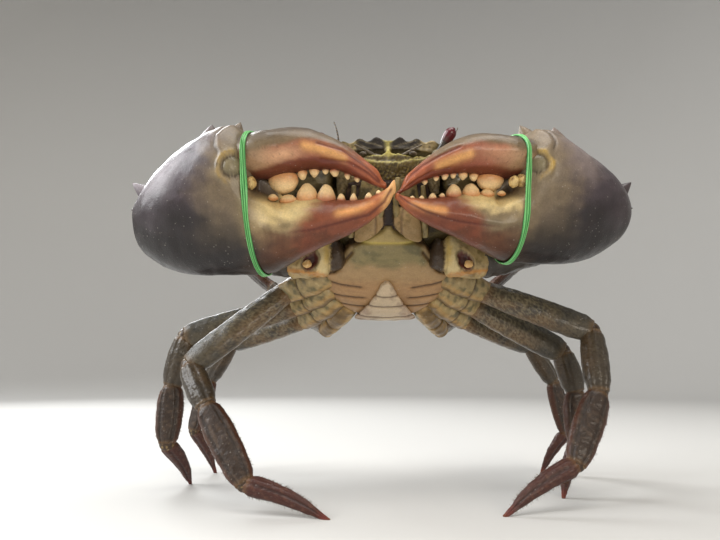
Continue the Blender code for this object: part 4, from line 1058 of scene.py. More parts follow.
def tail_flap():
    """The narrow flap, bent round the breast's lower end."""
    rings = []
    count = len(ABDOMEN_SHAPE)
    stations = [(i / (count - 1), *station) for i, station in enumerate(ABDOMEN_SHAPE)]
    for t in np.linspace(0, 1, 110):
        f, up, half = between(stations, t)
        ahead, behind = between(stations, min(t + 0.01, 1)), between(stations, max(t - 0.01, 0))
        run = np.array([ahead[0] - behind[0], ahead[1] - behind[1]])
        run /= np.linalg.norm(run)
        b, h = rounded(80, 3.0)
        rings.append(on_body(half * b, f - run[1] * 2.2 * h, up + run[0] * 2.2 * h))

    def relief(points, normal):
        x, f, up = in_body(points).T
        push = wave(points, 9, 41) * 0.25 + wave(points, 3, 42) * 0.08
        for at in ABDOMEN_SEAMS:
            push -= near(f, at + 0.02 * x * x / 4, 0.7) * 0.8
        return push + near(x, 0, 4) * 0.3

    def tint(points):
        x, f, up = in_body(points).T
        broad, fine = wave(points, 12, 43), wave(points, 3.5, 44)
        paint = Paint(points, (188, 168, 140))
        paint.over((132, 112, 96), step(0.1, 0.9, broad + fine * 0.5) * 0.5)
        paint.over((150, 122, 108), step(6, 16, np.abs(x)) * 0.4)
        for at in ABDOMEN_SEAMS:
            paint.over((78, 58, 40), near(f, at + 0.02 * x * x / 4, 0.7) * 0.8)
        return paint.colour

    made = Build()
    made.rings(dome_ends(rings, 3), relief, tint)
    made.finish("tail_flap", BELLY_LOOK, ["abdomen"])


tail_flap()


# Face: a ridged bar of shell under the front edge, its yellow-green ridges framing two hollows,
# dark with painted shade, where the short feelers fold away; below it two pairs of plates close the mouth.
FACE_RIDGES = (
    [(0, -4), (0, -11.0)],
    [(0, -11.0), (3.5, -12.6), (9, -13.0), (14, -11.2), (18.5, -8.0), (23, -6.8)],
    [(0, -16.6), (7, -16.6), (14, -15.2), (23, -13.4)],
)


def face_relief(points, normal):
    """The hollows and the ridges that frame them."""
    x, f, up = in_body(points).T
    front = step(44, 47, f)
    push = wave(points, 5, 51) * 0.5 + wave(points, 2, 52) * 0.2
    hollow = step(2.2, 4.5, np.abs(x)) * step(20, 15, np.abs(x)) * step(-13, -10.5, up)
    push -= hollow * 2.4
    for line, size in zip(FACE_RIDGES, (1.6, 1.5, 1.0)):
        push += near_line(np.abs(x), up, line, 1.3) * size * 1.2 * front
    return push


def face_tint(points):
    """Brown and yellow-green mottling, the hollows with their painted shade, and the yellow ridges."""
    x, f, up = in_body(points).T
    side = np.abs(x)
    fine, broad = wave(points, 2.2, 53), wave(points, 7, 54)
    paint = Paint(points, (98, 82, 46))
    paint.over((160, 142, 74), step(0.1, 0.8, fine + broad * 0.4) * 0.65)
    paint.over((40, 30, 18), step(0.1, 0.8, broad - fine * 0.4) * 0.75)
    hollow_shade_tint(points, paint, 1.0)
    paint.over((66, 54, 32), step(-12.6, -13.6, up) * step(-17, -15.4, up) * 0.7)
    for line, share in zip(FACE_RIDGES, (1, 1, 0.7)):
        paint.over((184, 170, 86), near_line(side, up, line, 0.85) * share * (0.8 + fine * 0.2))
    return paint.over((46, 36, 20), step(-16, -19, up) * 0.35)


def face():
    """The bar under the front edge, and the post between its two hollows."""
    profile = [(30, -6.5), (46, -6.5), (50.5, -8.5), (51.5, -13.5), (48, -17.5), (38, -19.5), (30, -19.5)]
    fine = softened(np.array(profile), 0.35, 6)
    rings = []
    for x in np.linspace(-31, 31, 180):
        ease = 1.0 - 0.12 * (x / 31.0) ** 2
        rings.append(on_body(x, 30 + (fine[:, 0] - 30) * ease, fine[:, 1]))
    made = Build()
    made.rings(rings, face_relief, face_tint)
    post = []
    for t in np.linspace(0, 1, 30):
        wide, deep = between([(0.0, 2.8, 2.4), (0.5, 1.3, 2.4), (1.0, 3.4, 2.4)], t)
        b, h = rounded(24, 2.2)
        post.append(on_body(wide * b, 52.5 - 3.0 * t + deep * h, -4.8 - 8 * t))
    made.rings(post, None, face_tint)
    made.finish("face_ridges", BELLY_LOOK, ["epistome"])


face()


def tube(build, start, end, broad, shape, relief, tint, around, steps, power=2.3, bow=0.0):
    """A limb's shell from start to end; relief and tint get places along, across and through it."""
    start, end, broad = (np.asarray(v, float) for v in (start, end, broad))
    length = np.linalg.norm(end - start)
    along = (end - start) / length
    wide = broad - along * (broad @ along)
    wide /= np.linalg.norm(wide)
    thin = np.cross(along, wide)
    b, h = rounded(around, power)
    rings = []
    for t in np.linspace(shape[0][0], shape[-1][0], steps + 1):
        half_broad, half_thin = between(shape, t)
        centre = start + along * (t * length) + wide * (bow * math.sin(math.pi * min(max(t, 0), 1)))
        rings.append(centre + np.outer(b * half_broad, wide) + np.outer(h * half_thin, thin))
    rings = dome_ends(rings, 5)

    def read(points):
        local = points - start
        t = local @ along / length
        halves = along_table(shape, t)
        across = (local @ wide - bow * np.sin(math.pi * np.clip(t, 0, 1))) / halves[:, 0]
        return t, across, (local @ thin) / halves[:, 1]

    build.rings(
        rings,
        (lambda points, normal: relief(points, *read(points))) if relief else None,
        lambda points: tint(points, *read(points)),
    )


def hairs(build, roots, tips, radius, tint):
    """Stiff bristles, each a thin closed spike from its root to its tip."""
    for root, tip in zip(np.asarray(roots, float), np.asarray(tips, float)):
        way = tip - root
        side = np.cross(way, [0.31, 0.52, 0.79])
        side *= radius / max(np.linalg.norm(side), 1e-9)
        other = np.cross(way / np.linalg.norm(way), side)
        ring = [root + side, root - side * 0.5 + other * 0.87, root - side * 0.5 - other * 0.87, tip]
        build.add(ring, [(0, 2, 1), (0, 1, 3), (1, 2, 3), (2, 0, 3)], tint)


OUTWARD = {"right": -1, "left": 1}
MOUTH_SEAM = [(8, 12), (7.5, 20), (8.5, 26)]
ROD_ENDS = [(22.6, 9, -34), (20.6, 37, -22.5)]
PALP_JOINTS = [(5.6, 41.5, -21.5), (4.6, 34.5, -26.0), (4.2, 28.0, -29.6), (5.0, 21.5, -32.6)]


def mouth_plate(side):
    """One side's two flat plates, with the rod and jointed feeler beside them and stiff hair."""
    sign = OUTWARD[side]
    made = Build()

    def seam(points):
        x, f, up = in_body(points).T
        return near_line(np.abs(x), f, MOUTH_SEAM, 0.7)

    def relief(points, normal):
        push = wave(points, 7, 61) * 0.2 + wave(points, 2.5, 62) * 0.07
        return push - seam(points) * 0.6

    def tint(points):
        x, f, up = in_body(points).T
        broad, fine = wave(points, 9, 63), wave(points, 3, 64)
        paint = Paint(points, (164, 136, 94))
        paint.over((120, 100, 60), step(0, 0.9, broad + fine * 0.5) * 0.6)
        upper = step(27, 33, f)
        paint.over((128, 112, 68), upper * 0.85)
        paint.over((58, 50, 30), upper * step(-0.1, 0.6, broad - fine * 0.5) * 0.8)
        paint.over((92, 70, 50), seam(points) * 0.6)
        return paint.over((70, 50, 36), step(4.2, 2.6, np.abs(x)) * 0.8)

    for low, high, inner, outer, level in (
        ((16.5, 6.0), (27.5, 26.5), (3.0, 3.2), (20.5, 19.0), (-36.2, -27.6)),
        ((28.6, 27.6), (42.0, 41.0), (3.4, 5.2), (18.6, 16.5), (-27.2, -20.6)),
    ):
        rings = []
        for t in np.linspace(0, 1, 50):
            b, h = rounded(72, 2.8)
            inside, outside = inner[0] + (inner[1] - inner[0]) * t, outer[0] + (outer[1] - outer[0]) * t
            x = (inside + outside) / 2 + (outside - inside) / 2 * b
            start = low[0] + (low[1] - low[0]) * (b + 1) / 2
            stop = high[0] + (high[1] - high[0]) * (b + 1) / 2
            f = start + (stop - start) * t + 2.4 * b**4 * (1 - 2 * t)
            up = level[0] + (level[1] - level[0]) * t
            rings.append(on_body(sign * x, f, up + 2.6 * h - 1.3 * (1 - b * b)))
        made.rings(dome_ends(rings, 4), relief, tint)
    cream = mottled((146, 128, 84), (84, 70, 42), 4, 65)
    for joints, shape, around, steps in (
        (ROD_ENDS, [(0, 2.0, 1.8), (0.5, 2.3, 2.0), (1, 1.4, 1.2)], 20, 20),
        (PALP_JOINTS, [(0, 1.7, 1.7), (0.5, 2.1, 2.0), (1, 1.5, 1.5)], 16, 12),
    ):
        places = [on_body(sign * x, f, up) for x, f, up in joints]
        for start, end in zip(places, places[1:]):
            tube(made, start, end, (1, 0, 0), shape, None, cream, around, steps)
    draw = np.random.default_rng(66)
    f = draw.uniform(16, 40, 150)
    roots = on_body(sign * draw.uniform(2.8, 4.4, 150), f, -36.5 + (f - 16) * 0.62)
    across, ahead, down = (draw.uniform(*reach, 150) for reach in ((0.4, 2.6), (-1.5, 1.5), (-2.6, -0.6)))
    tips = roots + on_body(-sign * across, ahead, down) - on_body(0, 0, 0)
    hairs(made, roots, tips, 0.11, linear(96, 72, 44))
    made.finish(side + "_mouth_plates", BELLY_LOOK, [side + "_maxilliped"])


for side in CLAW_PLACES:
    mouth_plate(side)


# Eyes on short jointed stalks, raised from their sockets, with a dark wine-red glossy cornea,
# and two pairs of ringed feelers: the outer pair stands up beside the eyes, the inner pair is
# folded into the hollows of the face.
EYE_ROOT = (29.5, 51.0, -8.0)
EYE_REACH = {"right": (12.0, -5.0, 9.0), "left": (8.4, -5.0, 12.4)}
STALK_SHAPE = [(0.0, 2.4), (0.3, 2.1), (0.5, 2.6), (0.72, 3.4), (0.92, 3.6), (1.08, 2.6), (1.14, 1.3)]
EYE_LOOK = wet_shell("wet_eye", 0.3, 2600, 0.25, 0.05, 0.3)


def eye(side):
    """A grey stalk that widens into the cornea."""
    sign = OUTWARD[side]
    root = on_body(sign * EYE_ROOT[0], *EYE_ROOT[1:])
    reach = np.array([sign * EYE_REACH[side][0], *EYE_REACH[side][1:]])
    tip = root + reach

    def tint(points, t, b, h):
        fine = wave(points, 1.6, 71)
        paint = Paint(points, (50, 45, 38))
        paint.over((98, 90, 76), step(0.2, 0.9, fine))
        paint.over((92, 44, 42), step(0.5, 0.62, t) * 0.6)
        return paint.over((84, 18, 26), step(0.6, 0.7, t + 0.08 * b + fine * 0.02))

    made = Build()
    tube(made, root, tip, (0, 1, 0), [(t, r, r) for t, r in STALK_SHAPE], None, tint, 40, 50, 2.0)
    lump(made, root, np.eye(3), (3.2, 3.2, 3.2), linear(120, 112, 92))
    made.finish(side + "_stalked_eye", EYE_LOOK, [side + "_eye"])


FEELER_BANDS = {
    "folded_feeler": ((82, 72, 60), (134, 122, 100)), "long_feeler": ((52, 40, 30), (126, 110, 84)),
}


def feeler(side, name, root, reach, thick, thin, base_lumps, node):
    """A thin ringed feeler on its thicker base joints."""
    sign = OUTWARD[side]
    points = [on_body(sign * root[0], *root[1:]) + np.array([sign * x, y, z]) for x, y, z in reach]
    stations = [(i / (len(points) - 1), *point) for i, point in enumerate(points)]
    made = Build()
    rings = []
    for t in np.linspace(0, 1, 120):
        here = between(stations, t)
        way = between(stations, min(t + 0.01, 1)) - between(stations, max(t - 0.01, 0))
        way /= np.linalg.norm(way)
        side_way = np.cross(way, [0.2, 0.9, 0.4])
        side_way /= np.linalg.norm(side_way)
        radius = (thick + (thin - thick) * t**0.7) * (1 + 0.1 * math.sin(t * 170))
        c, s = circle(14)
        ring = np.outer(c, side_way) + np.outer(s, np.cross(way, side_way))
        rings.append(here + radius * ring)

    def banded(points):
        bands = step(-0.2, 0.6, np.sin((points @ np.array([0.6, 0.5, 1.3])) * 2.4))
        base, stripe = FEELER_BANDS[name]
        return Paint(points, base).over(stripe, bands * 0.6)

    made.rings(dome_ends(rings, 3), None, banded)
    pale = mottled((112, 98, 62), (188, 170, 122), 3, 73, -0.5, 0.7)
    for size, (out, back, up) in base_lumps:
        lump(
            made, points[0] + np.array([sign * out, back, up]), np.eye(3), size,
            pale if name == "long_feeler" else banded, relief=lambda p, n: wave(p, 2.5, 72) * 0.2,
        )
    made.finish(side + "_" + name, SHELL_LOOK, [node])


FEELER_REACH = {
    "right": [(0, 0, 0), (2, -6, 2), (3, -9, 8), (4, -10, 15), (6, -9, 22)],
    "left": [(0, 0, 0), (4, -5, 2), (9, -6, 8), (13, -4, 15), (16, -1, 22)],
}
for side in CLAW_PLACES:
    eye(side)
    feeler(
        side, "long_feeler", (26.5, 47, -11), FEELER_REACH[side],
        1.3, 0.3, [((4.2, 2.8, 3.4), (-0.6, -1.0, 1.2)), ((2.6, 2.0, 2.2), (3.4, -4.0, 2.2))],
        side + "_antenna",
    )
    feeler(
        side, "folded_feeler", (4.5, 49, -11.5),
        [(0, 2, 0), (1.5, -1.4, 0.8), (5, -2.8, 2.6), (9, -3.8, 4.6), (12.5, -4.6, 6.2), (15.5, -5.4, 7.4)],
        1.35, 0.5, [((3.2, 1.5, 1.4), (2.5, -1.2, 2.8)), ((2.4, 1.4, 1.2), (10.5, -3.4, 3.6))],
        side + "_antennule",
    )


# Arms: behind each claw a knobbed wrist with stout spines, a heavy three-edged arm, and a
# short pale base set in its socket beside the breast.
SHOULDER = (60.0, -25.6, 143.0)
ELBOW = (120.0, -11.6, 171.0)
WRIST_IN_HAND = {"right": (1.0, -4.0, -8.0), "left": (-2.0, -3.0, -8.0)}
BREAST_SOCKET = (31, -6, -30)
WRIST_SHAPE = [(-0.04, 13, 11), (0.2, 17.5, 16), (0.55, 19, 18), (0.85, 17, 16.5), (1.02, 13, 13)]
ARM_SHAPE = [(-0.06, 13, 12), (0.12, 17, 14.5), (0.45, 16.5, 14), (0.8, 13.5, 12), (1.0, 11, 10)]
BASE_SHAPE = [(0.0, 11, 10), (0.3, 12.5, 11), (0.7, 12, 11), (1.0, 10, 9)]
WRIST_SPINES = {
    "right": [
        ((1, 4, -13), (-9.5, 9, -9), 5.5), ((0, -5, -13), (-12.3, -5, -8), 6.5),
        ((1, -14, -13), (-8, -19, -10), 5.0),
    ],
    "left": [
        ((1, 5, -13), (-11.5, 10, -9), 5.5), ((0, -4, -13), (-16.5, -5, -8), 6.5),
        ((1, -13, -13), (-9, -18, -10), 5.0),
    ],
}


def arm_tint(points, t=None, b=None, h=None):
    """Grey-brown with pale and dark patches."""
    broad, fine = wave(points, 22, 81), wave(points, 5, 82)
    paint = Paint(points, (62, 56, 50))
    paint.over((100, 90, 72), step(0, 0.9, broad + fine * 0.4) * 0.6)
    paint.over((50, 44, 40), step(0.1, 1, -broad + fine * 0.4) * 0.6)
    return paint.colour


def arm_relief(points, t, b, h):
    """Broad, knobbed unevenness."""
    return wave(points, 18, 83) * 0.5 + wave(points, 4, 84) * 0.16


SOCKET_HOLLOW = (47.0, 141.4)


def from_socket(points):
    """How far out from the middle of the hollow on the base's front, 1 at the hollow's edge."""
    across = (np.abs(points[:, 0]) - SOCKET_HOLLOW[0]) / 4.6
    rise = (points[:, 2] - SOCKET_HOLLOW[1]) / 5.0
    return np.hypot(across, rise + across * 0.35) + wave(points, 5, 80) * 0.14 + (points[:, 1] > -28) * 9


def socket_tint(points, t, b, h):
    """The base's cream shell, orange at its rim, with a maroon hollow and its pale knob, and painted shade
    on its inner end by the breast.
    """
    broad, fine = wave(points, 9, 85), wave(points, 3, 86)
    out = from_socket(points)
    paint = Paint(points, (168, 144, 98))
    paint.over((112, 92, 52), step(0, 0.9, broad + fine * 0.5) * 0.7)
    side, rise = np.abs(points[:, 0]) + fine * 0.8, points[:, 2] + fine * 0.6
    paint.over((206, 186, 136), step(34.5, 37, side) * step(45, 42, side) * step(131, 134, rise) * 0.85)
    paint.over((192, 156, 62), near(side, 37.5, 1.6) * step(136, 143, rise) * 0.6)
    paint.over((186, 122, 48), near(rise, 134.2 + (side - 45) * 0.12, 1.1) * 0.75)
    # painted shade on the base's inner end, under the claws beside the breast
    paint.over((40, 24, 20), step(36, 34, side) * 0.92)
    paint.over((46, 26, 20), near(out, 1.15, 0.14) * 0.6)
    paint.over((92, 44, 42), step(1.1, 0.9, out) * 0.95)
    return paint.over((40, 20, 20), step(0.8, 0.35, out) * 0.5)


def arm(side):
    """One side's wrist, upper arm and base, from the hand to the breast."""
    claw = Claw(side)
    sign = OUTWARD[side]
    start = claw.place(WRIST_IN_HAND[side])
    elbow, shoulder = (np.array([sign * x, y, z]) for x, y, z in (ELBOW, SHOULDER))
    wrist = Build()
    tube(wrist, start, elbow, (0, 0, 1), WRIST_SHAPE, arm_relief, arm_tint, 72, 60)
    middle = (start + elbow) / 2
    spike(wrist, middle + (sign * -8, 4, 12), middle + (sign * -13, -2, 24), 4.5, arm_tint)
    for root, tip, radius in WRIST_SPINES[side]:
        spike(wrist, claw.place(root), claw.place(tip), radius, arm_tint)
    wrist.finish(side + "_wrist_joint", CLAW_LOOK, [side + "_wrist"])
    upper = Build()
    tube(upper, elbow, shoulder, (0, 0, 1), ARM_SHAPE, arm_relief, arm_tint, 72, 70)
    for share in (0.3, 0.52, 0.74):
        place = elbow + (shoulder - elbow) * share
        spike(upper, place + (0, -9, 8), place + (sign * 3, -15, 16), 3.6, arm_tint)
    upper.finish(side + "_upper_arm", CLAW_LOOK, [side + "_arm"])
    base = Build()
    socket = on_body(sign * BREAST_SOCKET[0], *BREAST_SOCKET[1:])

    def relief(points, t, b, h):
        push = wave(points, 8, 87) * 0.4 + wave(points, 3, 88) * 0.12
        out = from_socket(points)
        side = np.abs(points[:, 0])
        push += near(side, 40, 3.5) * 1.0 - near(side, 35.2, 1.4) * 1.6
        push -= near(points[:, 2], 133.2, 1.0) * 0.7
        return push - step(1.1, 0.6, out) * 2.2 + near(out, 1.4, 0.25) * 0.6

    tube(base, shoulder, socket, (0, 0, 1), BASE_SHAPE, relief, socket_tint, 110, 90)
    knob = mottled((204, 160, 100), (226, 196, 140), 3, 89)
    lump(
        base, (sign * 49.2, -36.6, 139.4), np.eye(3), (2.9, 2.3, 2.5), knob, 0.8,
        relief=lambda p, n: wave(p, 4, 79) * 0.3,
    )
    base.finish(side + "_arm_base", BELLY_LOOK, [side + "_claw_base"])


for side in CLAW_PLACES:
    arm(side)


# Legs: four pairs of flattened, jointed tubes. Three pairs walk on ridged, reddish points;
# the last pair, held up behind, ends in broad paddles fringed with hair.
LEGS = {
    "right": [
        [(-66, 46, 128), (-124, 30, 78.5), (-108, 14, 55.5), (-79, -6, 15.2), (-32, -18, -1)],
        [(-62, 60, 120), (-136, 56, 98), (-143, 56, 66), (-142, 50, 29), (-132, 74, -1)],
        [(-56, 70, 112), (-114, 98, 97), (-131, 105, 70), (-141, 104, 32), (-126, 116, -1)],
        [(-41, 83, 107), (-64, 101, 122), (-86, 109, 140), (-110, 117, 158), (-140, 129, 178)],
    ],
    "left": [
        [(66, 46, 128), (131, 32, 100.5), (126.5, 18, 63), (103.5, 2, 24), (58, -12, -1)],
        [(62, 60, 120), (121, 58, 88), (128, 58, 62), (124, 50, 28), (105, 30, -1)],
        [(56, 70, 112), (112, 100, 95), (130, 106, 68), (138, 108, 30), (120, 116, -1)],
        [(41, 83, 107), (64, 101, 122), (86, 109, 140), (110, 117, 158), (140, 129, 178)],
    ],
}
LEG_MIDDLE = 44.6  # the joints are measured from a line this far in front of the frame's middle
WALKING_SHAPES = (
    ("merus", [
        (-0.1, 6.6, 5.2), (0.0, 7.4, 5.4), (0.4, 9.0, 6.2), (0.8, 9.2, 6.0), (0.92, 8.5, 5.6),
        (0.98, 7.2, 5.0),
    ]),
    ("carpus", [(0.02, 5.8, 4.6), (0.1, 7.0, 5.3), (0.45, 8.2, 5.7), (0.82, 7.7, 5.3), (0.98, 6.3, 4.5)]),
    ("propodus", [
        (0.02, 5.6, 4.2), (0.1, 7.2, 4.7), (0.35, 8.8, 4.6), (0.72, 8.1, 4.3), (0.9, 6.9, 3.9),
        (0.98, 5.6, 3.6),
    ]),
    ("dactylus", [(0.02, 4.6, 3.3), (0.09, 5.6, 3.7), (0.35, 4.9, 3.2), (0.7, 3.2, 2.2), (0.98, 1.2, 1.0)]),
)
SWIMMING_SHAPES = (
    ("merus", [(0.0, 8.0, 6.0), (0.5, 10.0, 6.6), (0.97, 9.0, 6.0)]),
    ("carpus", [(0.02, 7.6, 5.4), (0.5, 9.0, 5.4), (0.97, 8.2, 4.8)]),
    ("propodus", [(0.02, 7.0, 4.4), (0.5, 11.0, 3.8), (0.98, 8.4, 3.0)]),
    ("dactylus", [
        (0.0, 6.4, 2.8), (0.12, 9.0, 2.6), (0.45, 12.0, 2.2), (0.75, 10.5, 1.7), (0.93, 5.6, 1.2),
        (0.99, 2.0, 0.8),
    ]),
)
LEG_LOOK = wet_shell("wet_leg_shell", 0.36, 1000, 0.6, 0.26, 0.22)
FOOT_LOOK = wet_shell("wet_foot_shell", 0.42, 1200, 0.55, 0.32, 0.2)


def leg_tint(kind, swims):
    """A leg segment's colours: olive with pale veins above, reddish below."""
    def tint(points, t, b, h):
        broad, net, fine = wave(points, 16, 91), wave(points, 4.4, 92), wave(points, 1.8, 93)
        if kind in ("merus", "carpus"):
            paint = Paint(points, (74, 67, 54))
            paint.over((112, 82, 50), step(0.1, -0.8, b + broad * 0.3) * step(0.95, 0.5, t) * 0.5)
            paint.over((56, 56, 54), np.maximum(step(0.0, 0.9, broad), step(0.2, 0.8, b)) * 0.65)
            veins = near(net, 0, 0.26) * (0.4 if kind == "merus" else 0.15)
            paint.over((162, 150, 120), veins * step(1.05, 0.2, t))
            paint.over((128, 92, 52), step(0.16, 0.0, t) * 0.5)
            paint.over((36, 31, 26), step(0.2, 0.9, fine + net * 0.4) * 0.6)
            if kind == "carpus":
                paint.over((56, 45, 33), 0.6)
        elif kind == "propodus":
            paint = Paint(points, (50, 37, 28))
            paint.over((88, 70, 55), step(0, 0.9, net + broad * 0.5) * 0.5)
            paint.over((82, 44, 27), step(0.66, 0.95, np.abs(b)) * 0.7)
            paint.over((34, 25, 20), near(np.abs(b), 0.55, 0.07) * 0.65)
            paint.over((36, 27, 22), step(0.3, 0.9, fine - broad * 0.3) * 0.5)
        else:
            paint = Paint(points, (66, 34, 26))
            paint.over((102, 66, 50), step(0.1, 0.9, net + fine * 0.4) * 0.4)
            paint.over((34, 18, 15), near(b, 0, 0.16) * 0.7 * step(0.05, 0.15, t))
            if not swims:
                paint.over((128, 50, 40), step(0.78, 0.98, t) * 0.6)
        rim = near(t, 0.985, 0.03) + near(t, 0.03, 0.03)
        return paint.over((120, 88, 48), rim * 0.35)

    return tint


def membrane_tint(points):
    """Soft skin in a joint: dark brown, with cream folds."""
    paint = Paint(points, (58, 42, 28))
    return paint.over((160, 134, 88), step(0.2, 0.9, wave(points, 3.0, 90)) * 0.7)


def leg_relief(kind):
    """The lengthwise ridges and grooves of each kind of segment."""
    def relief(points, t, b, h):
        push = wave(points, 9, 94) * 0.22 + wave(points, 2.2, 95) * 0.1
        if kind == "merus":
            return push + near(b, 0.85, 0.12) * 0.5
        if kind == "carpus":
            return push + near(b, 0, 0.12) * 0.5 - near(np.abs(b), 0.4, 0.12) * 0.4
        if kind == "propodus":
            return push - near(np.abs(b), 0.55, 0.1) * 0.55 * step(0.02, 0.15, t)
        return push - near(b, 0, 0.15) * 0.5 - near(np.abs(b), 0.72, 0.1) * 0.3

    return relief


def leg(side, number):
    """A leg's four segments with their joint skins and hair."""
    joints = [np.array(joint, float) - (0, LEG_MIDDLE, 0) for joint in LEGS[side][number - 1]]
    swims = number == 4
    across = np.cross(joints[1] - joints[0], joints[3] - joints[1])
    across /= np.linalg.norm(across)
    scale = 0.92 if number == 3 else 1.0
    draw = np.random.default_rng(100 + number)
    for i, (kind, shape) in enumerate(SWIMMING_SHAPES if swims else WALKING_SHAPES):
        start, end = joints[i], joints[i + 1]
        along = (end - start) / np.linalg.norm(end - start)
        broad = np.cross(along, across)
        shape = [(t, w * scale, d * scale) for t, w, d in shape]
        bow = 0.0
        if kind == "dactylus" and not swims:
            bow = -2.2 if broad[2] < 0 else 2.2
        made = Build()
        tube(made, start, end, broad, shape, leg_relief(kind), leg_tint(kind, swims), 64, 80, 2.3, bow)
        if i < 3:
            wide, thick = shape[-1][1:]
            radii = (wide * 0.88, thick * 0.86, wide * 0.75)
            lump(made, end, np.array([broad, across, along]), radii, membrane_tint)
        if kind in ("propodus", "dactylus") or (swims and kind == "carpus"):
            count = 260 if swims else 150
            t = draw.uniform(0.06, 0.94 if swims else 0.86, count)
            edge = draw.choice([-1.0, 1.0], count)
            half_broad, half_thin = along_table(shape, t).T
            roots = start + np.outer(t * np.linalg.norm(end - start), along)
            roots = roots + np.outer(bow * np.sin(math.pi * t) + edge * half_broad * 0.96, broad)
            roots = roots + np.outer(draw.uniform(-0.3, 0.3, count) * half_thin, across)
            reach = draw.uniform(1.2, 2.6, count) if swims else draw.uniform(0.8, 2.2, count)
            lean = np.outer(edge * 0.8, broad) + np.outer(draw.uniform(0.2, 0.8, count), along)
            hairs(made, roots, roots + lean * reach[:, None], 0.12, linear(104, 76, 48))
        look, slot = (LEG_LOOK, "leg_shell") if i < 2 else (FOOT_LOOK, "foot_shell")
        made.finish(f"{side}_leg_{number}_{kind}", look, [f"{side}_leg{number}_{kind}"])


def base_tint(points, t, b, h):
    """Olive and cream, with a brown seam and dark edges."""
    broad, fine = wave(points, 8, 96), wave(points, 2.6, 97)
    paint = Paint(points, (154, 134, 92))
    paint.over((88, 82, 56), step(-0.2, 0.7, broad) * 0.85)
    paint.over((186, 166, 118), step(0.3, 1.0, -broad + fine * 0.3) * 0.6)
    paint.over((176, 128, 60), step(0.55, 0.8, np.abs(b) + fine * 0.1) * 0.4)
    paint.over((50, 36, 22), step(0.82, 1.0, np.abs(b)) * 0.6)
    return paint.over((60, 40, 24), near(t, 0.62 + fine * 0.01, 0.02) * 0.8)


def base_relief(points, t, b, h):
    """Soft unevenness and one seam round the limb."""
    push = wave(points, 7, 98) * 0.3 + wave(points, 2.4, 99) * 0.1
    return push - near(t, 0.62, 0.022) * 0.8


LEG_ROOTS = [(38, -23, -30), (37, -33, -29.5), (33, -42, -28), (24, -50, -25)]
LEG_ROOT_SHAPE = [(0.0, 8.2, 7.0), (0.3, 9.6, 8.0), (0.6, 8.6, 7.0), (0.75, 8.6, 7.0), (1.04, 7.4, 6.0)]
for side in CLAW_PLACES:
    bases = Build()
    for (x, f, up), joints in zip(LEG_ROOTS, LEGS[side]):
        joint, knee = (np.array(place, float) - (0, LEG_MIDDLE, 0) for place in joints[:2])
        root = on_body(OUTWARD[side] * x, f, up)
        broad = np.cross(knee - joint, (0, 1, 0))
        tube(bases, root, joint, broad, LEG_ROOT_SHAPE, base_relief, base_tint, 56, 60)
    bases.finish(side + "_leg_roots", BELLY_LOOK, [side + "_leg_bases"])
    for number in (1, 2, 3, 4):
        leg(side, number)


# Twine: one turn of flat, crumpled split-film twine round each claw, pulled tight so that it
# lies straight across the claw's hollows and holds the movable finger shut.
TWINE_PLACES = {"right": (73.2, 5.0), "left": (76.5, 4.0)}
TWINE_WIDTH = 3.8
TWINE_STEPS, TWINE_ACROSS = 240, 25


def crossing(rings, point, normal):
    """Where a skin of rings crosses a plane."""
    grid = np.array(rings)
    reach = (grid - point) @ normal
    low, high = reach[:-1], reach[1:]
    hit = low * high < 0
    share = (low[hit] / (low[hit] - high[hit]))[:, None]
    return grid[:-1][hit] + (grid[1:][hit] - grid[:-1][hit]) * share


def stretched_outline(flat):
    """The corners of the tight outline round flat points, in order."""
    order = flat[np.lexsort((flat[:, 1], flat[:, 0]))]
    chains = []
    for run in (order, order[::-1]):
        chain = []
        for p in run:
            while len(chain) > 1:
                (ax, ay), (bx, by) = chain[-2], chain[-1]
                if (bx - ax) * (p[1] - ay) - (by - ay) * (p[0] - ax) > 0:
                    break
                chain.pop()
            chain.append(p)
        chains += chain[:-1]
    return np.array(chains)


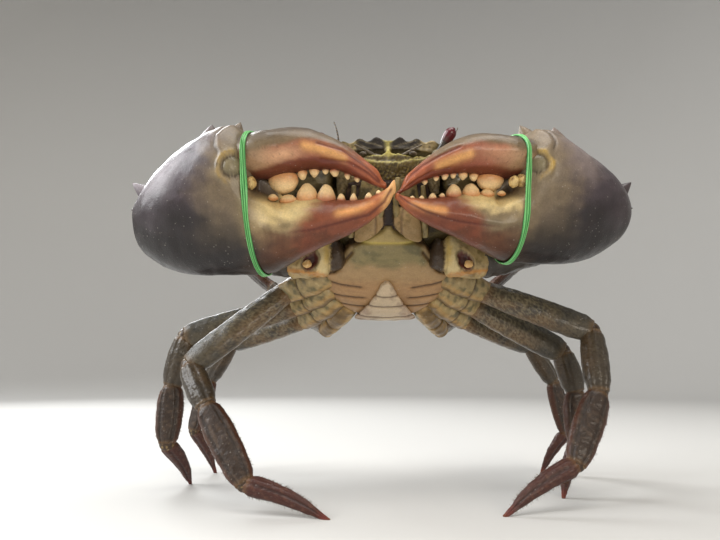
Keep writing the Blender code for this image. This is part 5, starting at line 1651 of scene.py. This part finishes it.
def round_claw(side, point, normal, wide, tall):
    """The twine's line round the hand and the finger, as even flat steps on the plane it lies in."""
    flat = []
    for share in (-0.5, -0.25, 0, 0.25, 0.5):
        for skin in (hand_rings, finger_rings):
            found = crossing(skin(side, 64, 120), point + normal * share * TWINE_WIDTH, normal)
            flat.append(np.stack([(found - point) @ wide, (found - point) @ tall], axis=1))
    corners = stretched_outline(np.vstack(flat))
    loop = np.vstack([corners, corners[:1]])
    lengths = np.concatenate([[0], np.cumsum(np.linalg.norm(np.diff(loop, axis=0), axis=1))])
    want = np.linspace(0, lengths[-1], TWINE_STEPS + 1)[:-1]
    return np.stack([np.interp(want, lengths, column) for column in loop.T], axis=1)


def twine(side):
    """The flat turn of twine, crumpled into strands, on its line round the claw."""
    claw = Claw(side)
    at, lean = TWINE_PLACES[side]
    lean = math.radians(lean)
    normal = claw.axes[0] * math.cos(lean) + claw.axes[1] * math.sin(lean)
    wide = claw.axes[2]
    tall = np.cross(normal, wide)
    point = claw.place((at, 0, 0))
    line = round_claw(side, point, normal, wide, tall)
    run = np.roll(line, -1, axis=0) - np.roll(line, 1, axis=0)
    run /= np.linalg.norm(run, axis=1, keepdims=True)
    out = np.stack([run[:, 1], -run[:, 0]], axis=1)
    out *= np.sign((out * line).sum(axis=1, keepdims=True))
    across = np.linspace(-1, 1, TWINE_ACROSS)
    folds = np.random.default_rng(len(side)).uniform(0, 6.28, 3)
    points, shades = [], []
    for k in range(TWINE_STEPS):
        turn = 2 * math.pi * k / TWINE_STEPS
        half = 1.6 + 0.25 * math.sin(turn * 3 + folds[0]) + 0.12 * math.sin(turn * 7 + folds[1])
        crest = 0.32 * np.cos(across * 9 + 1.2 * math.sin(turn * 4 + folds[2])) + 0.2 * np.cos(across * 21)
        outer_face = (0.95 + crest - 0.5 * across**4)[::-1]
        for spread, reach, shade in (
            (across, np.full(TWINE_ACROSS, 0.35), np.full(TWINE_ACROSS, -1.0)),
            (across[::-1], outer_face, crest[::-1] * 2),
        ):
            here = line[k] + out[k] * reach[:, None]
            points.append(point + here @ np.array([wide, tall]) + np.outer(spread * half, normal))
            shades.append(shade)
    points, shades = np.vstack(points), np.concatenate(shades)
    # lighter green as a painted highlight on the crumples' crests, darker green as painted shade in the
    # folds and on the inner face against the claw
    green = Paint(points, (48, 124, 62)).over((128, 206, 126), step(-0.6, 0.8, shades))
    made = Build()
    made.add(points, row_faces(TWINE_STEPS, 2 * TWINE_ACROSS, closed=True), green)
    made.finish(side + "_twine_turn", TWINE_LOOK, [side + "_twine"])


TWINE_LOOK = wet_shell("split_film_twine", 0.36, 2200, 0.25, 0.1, 0.2)
for side in CLAW_PLACES:
    twine(side)
